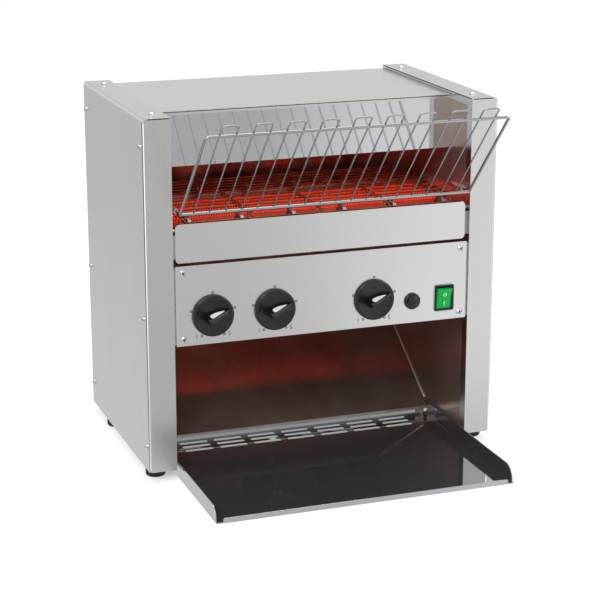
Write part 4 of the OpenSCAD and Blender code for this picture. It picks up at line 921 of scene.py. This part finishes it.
class TOASTER_OT_switch(ToasterOperator, bpy.types.Operator):
    """Lit rocker switch with its O and I, in its black frame"""
    bl_idname, bl_label = "toaster.switch", "Switch"

    def make(self, sizes, colours):
        rounded("switch_housing", "casing", moulded("polyamide moulded black", "#171718", 0.42, 0.3),
                sizes.moulded_round, "holder_black")
        # spring steel frame between the bezel and the panel: a bright hair line round the switch
        low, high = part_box("switch_housing")
        centre, a = middle("switch_housing"), np.linspace(0, 2 * np.pi, 96, endpoint=False)[None, :]
        u, v = np.sign(np.cos(a)) * abs(np.cos(a)) ** 0.2, np.sign(np.sin(a)) * abs(np.sin(a)) ** 0.2
        out, up = (np.array(c)[:, None] * MM for c in ([-1, 1.1, 1.1, 0.7, -1], [0.02, 0.02, 0.5, 0.8, 0.8]))
        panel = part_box("control_panel")[0].y
        ring = np.stack([centre.x + u * ((high.x - low.x) / 2 + out), panel - up + 0 * a,
                         centre.z + v * ((high.z - low.z) / 2 + out)], -1)
        piece("switch_frame", grid(ring, around=True), "casing", bright_plating(), slot="bright_screws", soft=False)
        rounded("switch_rocker", "rocker", lit_lens("body"), 0.4 * MM, "rocker_green")
        # O and I lie on the rocker's two faces, which meet 5.6 mm before the pivot and slope back from there by the
        # tip's angle; each is 5.6 mm along its face
        pivot = np.array([middle("switch_rocker").x, (FRONT + 4.6) * MM, centre.z])
        tip, reach, line, size = math.radians(10), 5.6 * MM, 0.3 * MM, sizes.legend_height
        turn = np.array(Matrix.Rotation(tip, 3, "X"))
        legend = []
        for side in (1, -1):
            up = turn @ np.array([0, -math.sin(tip), side * math.cos(tip)])
            place = pivot - turn @ Y * reach + up * reach + np.cross(X, up) * side * 0.02 * MM
            legend.append(torus(place, X, up, size * 0.42, line) if side == 1
                          else capsule(place, X, -up, 0.4 * MM, size / 2, line))
        piece("rocker_legend", joined(*legend), "rocker", lit_lens("legend"), slot="rocker_green")


class TOASTER_OT_fuse(ToasterOperator, bpy.types.Operator):
    """Panel fuse holder and its cap"""
    bl_idname, bl_label = "toaster.fuse", "Fuse holder"

    def make(self, sizes, colours):
        black = moulded("phenolic moulded black", "#0D0D0E", 0.24, 0.4)
        rounded("fuse_holder", "casing", black, 0.3 * MM, "holder_black")
        # cap with a finger bar across it
        centre, panel = middle("fuse_holder"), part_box("control_panel")[0].y
        cap = turned([(0, 3), (7.4, 3), (7.5, 3.4), (7.3, 4.6), (6.9, 5.1), (6.2, 5.3), (3, 5.4), (0, 5.4)], 48)
        bar = capsule((0, 0, 4.6), Y, -X, 6.2, 2.1, 1.8)
        shape = on_panel(joined(cap, bar), (centre.x, panel, centre.z), math.radians(-30))
        piece("bayonet_cap", shape, "fuse_carrier", black, ("fuse_cap",), "holder_black", crease=50)


class TOASTER_OT_rack(ToasterOperator, bpy.types.Operator):
    """Chromed loading rack and its sockets"""
    bl_idname, bl_label = "toaster.rack", "Rack"

    def make(self, sizes, colours):
        dress(bright_plating(), "loading_rack")
        dress(galvanised_steel(), "rack_sockets")


class TOASTER_OT_delivery(ToasterOperator, bpy.types.Operator):
    """Polished delivery ramp and tray"""
    bl_idname, bl_label = "toaster.delivery", "Ramp and tray"

    def make(self, sizes, colours):
        dress(dulled_mirror(), "delivery_ramp")
        # the ramp's side edges are hemmed, and the hems' pale tone is a painted highlight: a bright thin line against
        # the walls. The ramp starts 13 mm up and climbs at 33 degrees
        low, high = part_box("delivery_ramp")
        climb = math.tan(math.radians(33))
        hems = []
        for x in (low.x + 0.9 * MM, high.x - 0.9 * MM):
            foot = x, low.y + 12 * MM, 13.3 * MM + 12 * MM * climb
            top = x, high.y - 1 * MM, 12.65 * MM + (high.y - low.y) * climb
            hems.append(tube(np.linspace(foot, top, 40), X[None], 0.75 * MM, 10))
        piece("ramp_hems", joined(*hems), "casing", pale_edge_highlight(), slot="mirror_steel")
        rounded("delivery_tray", "tray", mirror_stainless(), sizes.sheet_round, "mirror_steel", soft=False)


class TOASTER_OT_rear(ToasterOperator, bpy.types.Operator):
    """Cooling fan and cable gland"""
    bl_idname, bl_label = "toaster.rear", "Fan and gland"

    def make(self, sizes, colours):
        dress(moulded("polyester moulded black", "#1B1B1C", 0.45, 0.35), "fan_frame", "fan_rotor")
        dress(moulded("polyamide moulded black", "#171718", 0.42, 0.3), "cable_gland")


class TOASTER_OT_fixings(ToasterOperator, bpy.types.Operator):
    """Screws and rubber feet"""
    bl_idname, bl_label = "toaster.fixings", "Screws and feet"

    def make(self, sizes, colours):
        dress(zinc_screw(), "casing_screws", "panel_screws")
        # each head is its centre on the sheet, two ways across it and the way out: sides, top, rear and panel
        low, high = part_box("side_casing_right")
        near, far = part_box("control_panel")
        heads = [((side * high.x, y, z), -Z, Y, side * X) for side in (-1, 1)
                 for y in (low.y + 11 * MM, high.y - 11 * MM)
                 for z in (low.z + 30 * MM, low.z + 187 * MM, high.z - 33 * MM)]
        heads += [((side * (high.x - 19.2 * MM), y, high.z), side * X, Y, Z) for side in (-1, 1)
                  for y in (low.y + 31 * MM, high.y - 29 * MM)]
        heads += [((side * (high.x - 9 * MM), high.y, z), side * X, -Z, Y) for side in (-1, 1)
                  for z in (low.z + 40 * MM, low.z + 205 * MM, high.z - 40 * MM)]
        heads += [((x, near.y, z), X, Z, -Y) for x in (near.x + 8.5 * MM, far.x - 8.5 * MM)
                  for z in (near.z + 8.4 * MM, far.z - 8 * MM)]
        # a near-black cross in the driver's recess of each screw is painted shade, lying just under its top, which is
        # 1.9 + 0.46 mm out
        recess_shade_bars = []
        for centre, across, up, out in heads:
            for a in np.radians((20, 110)):
                recess_shade_bars.append(capsule(np.array(centre) + 1.9 * MM * out, np.cos(a) * across + np.sin(a) * up,
                                    np.cos(a) * up - np.sin(a) * across, 2.15 * MM, 0.53 * MM, 0.46 * MM, 8, 4))
        piece("painted_recess_shade", joined(*recess_shade_bars), "casing", cut_steel("#1C1C1E", 0.6), slot="bright_screws", soft=False)
        dress(foot_rubber(), "rubber_feet")


class TOASTER_PT_panel(bpy.types.Panel):
    """Lists the steps with their sizes and colours"""
    bl_idname, bl_label = "TOASTER_PT_panel", "Conveyor toaster"
    bl_space_type, bl_region_type, bl_category = "VIEW_3D", "UI", "Toaster"

    def draw(self, context):
        for step in STEPS:
            self.layout.operator(step.bl_idname)
        for group in (context.scene.toaster_sizes, context.scene.toaster_colours):
            box = self.layout.box()
            for name in group.__annotations__:
                box.prop(group, name)


STEPS = (TOASTER_OT_stage, TOASTER_OT_casing, TOASTER_OT_lining, TOASTER_OT_belt, TOASTER_OT_heaters,
         TOASTER_OT_drive, TOASTER_OT_controls, TOASTER_OT_switch, TOASTER_OT_fuse, TOASTER_OT_rack,
         TOASTER_OT_delivery, TOASTER_OT_rear, TOASTER_OT_fixings)
CLASSES = (ToasterSizes, ToasterColours) + STEPS + (TOASTER_PT_panel,)


def register():
    for each in CLASSES:
        bpy.utils.register_class(each)
    bpy.types.Scene.toaster_sizes = PointerProperty(type=ToasterSizes)
    bpy.types.Scene.toaster_colours = PointerProperty(type=ToasterColours)


def unregister():
    del bpy.types.Scene.toaster_colours
    del bpy.types.Scene.toaster_sizes
    for each in reversed(CLASSES):
        bpy.utils.unregister_class(each)


def main():
    """Runs every step in order."""
    register()
    for step in STEPS:
        group, name = step.bl_idname.split(".")
        getattr(getattr(bpy.ops, group), name)()
    bpy.context.view_layer.update()
    boxes = {"cad": SOLIDS_BOX, "visual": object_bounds()}
    {name: [list(corner) for corner in box] for name, box in boxes.items()}


if __name__ == "__main__":
    main()
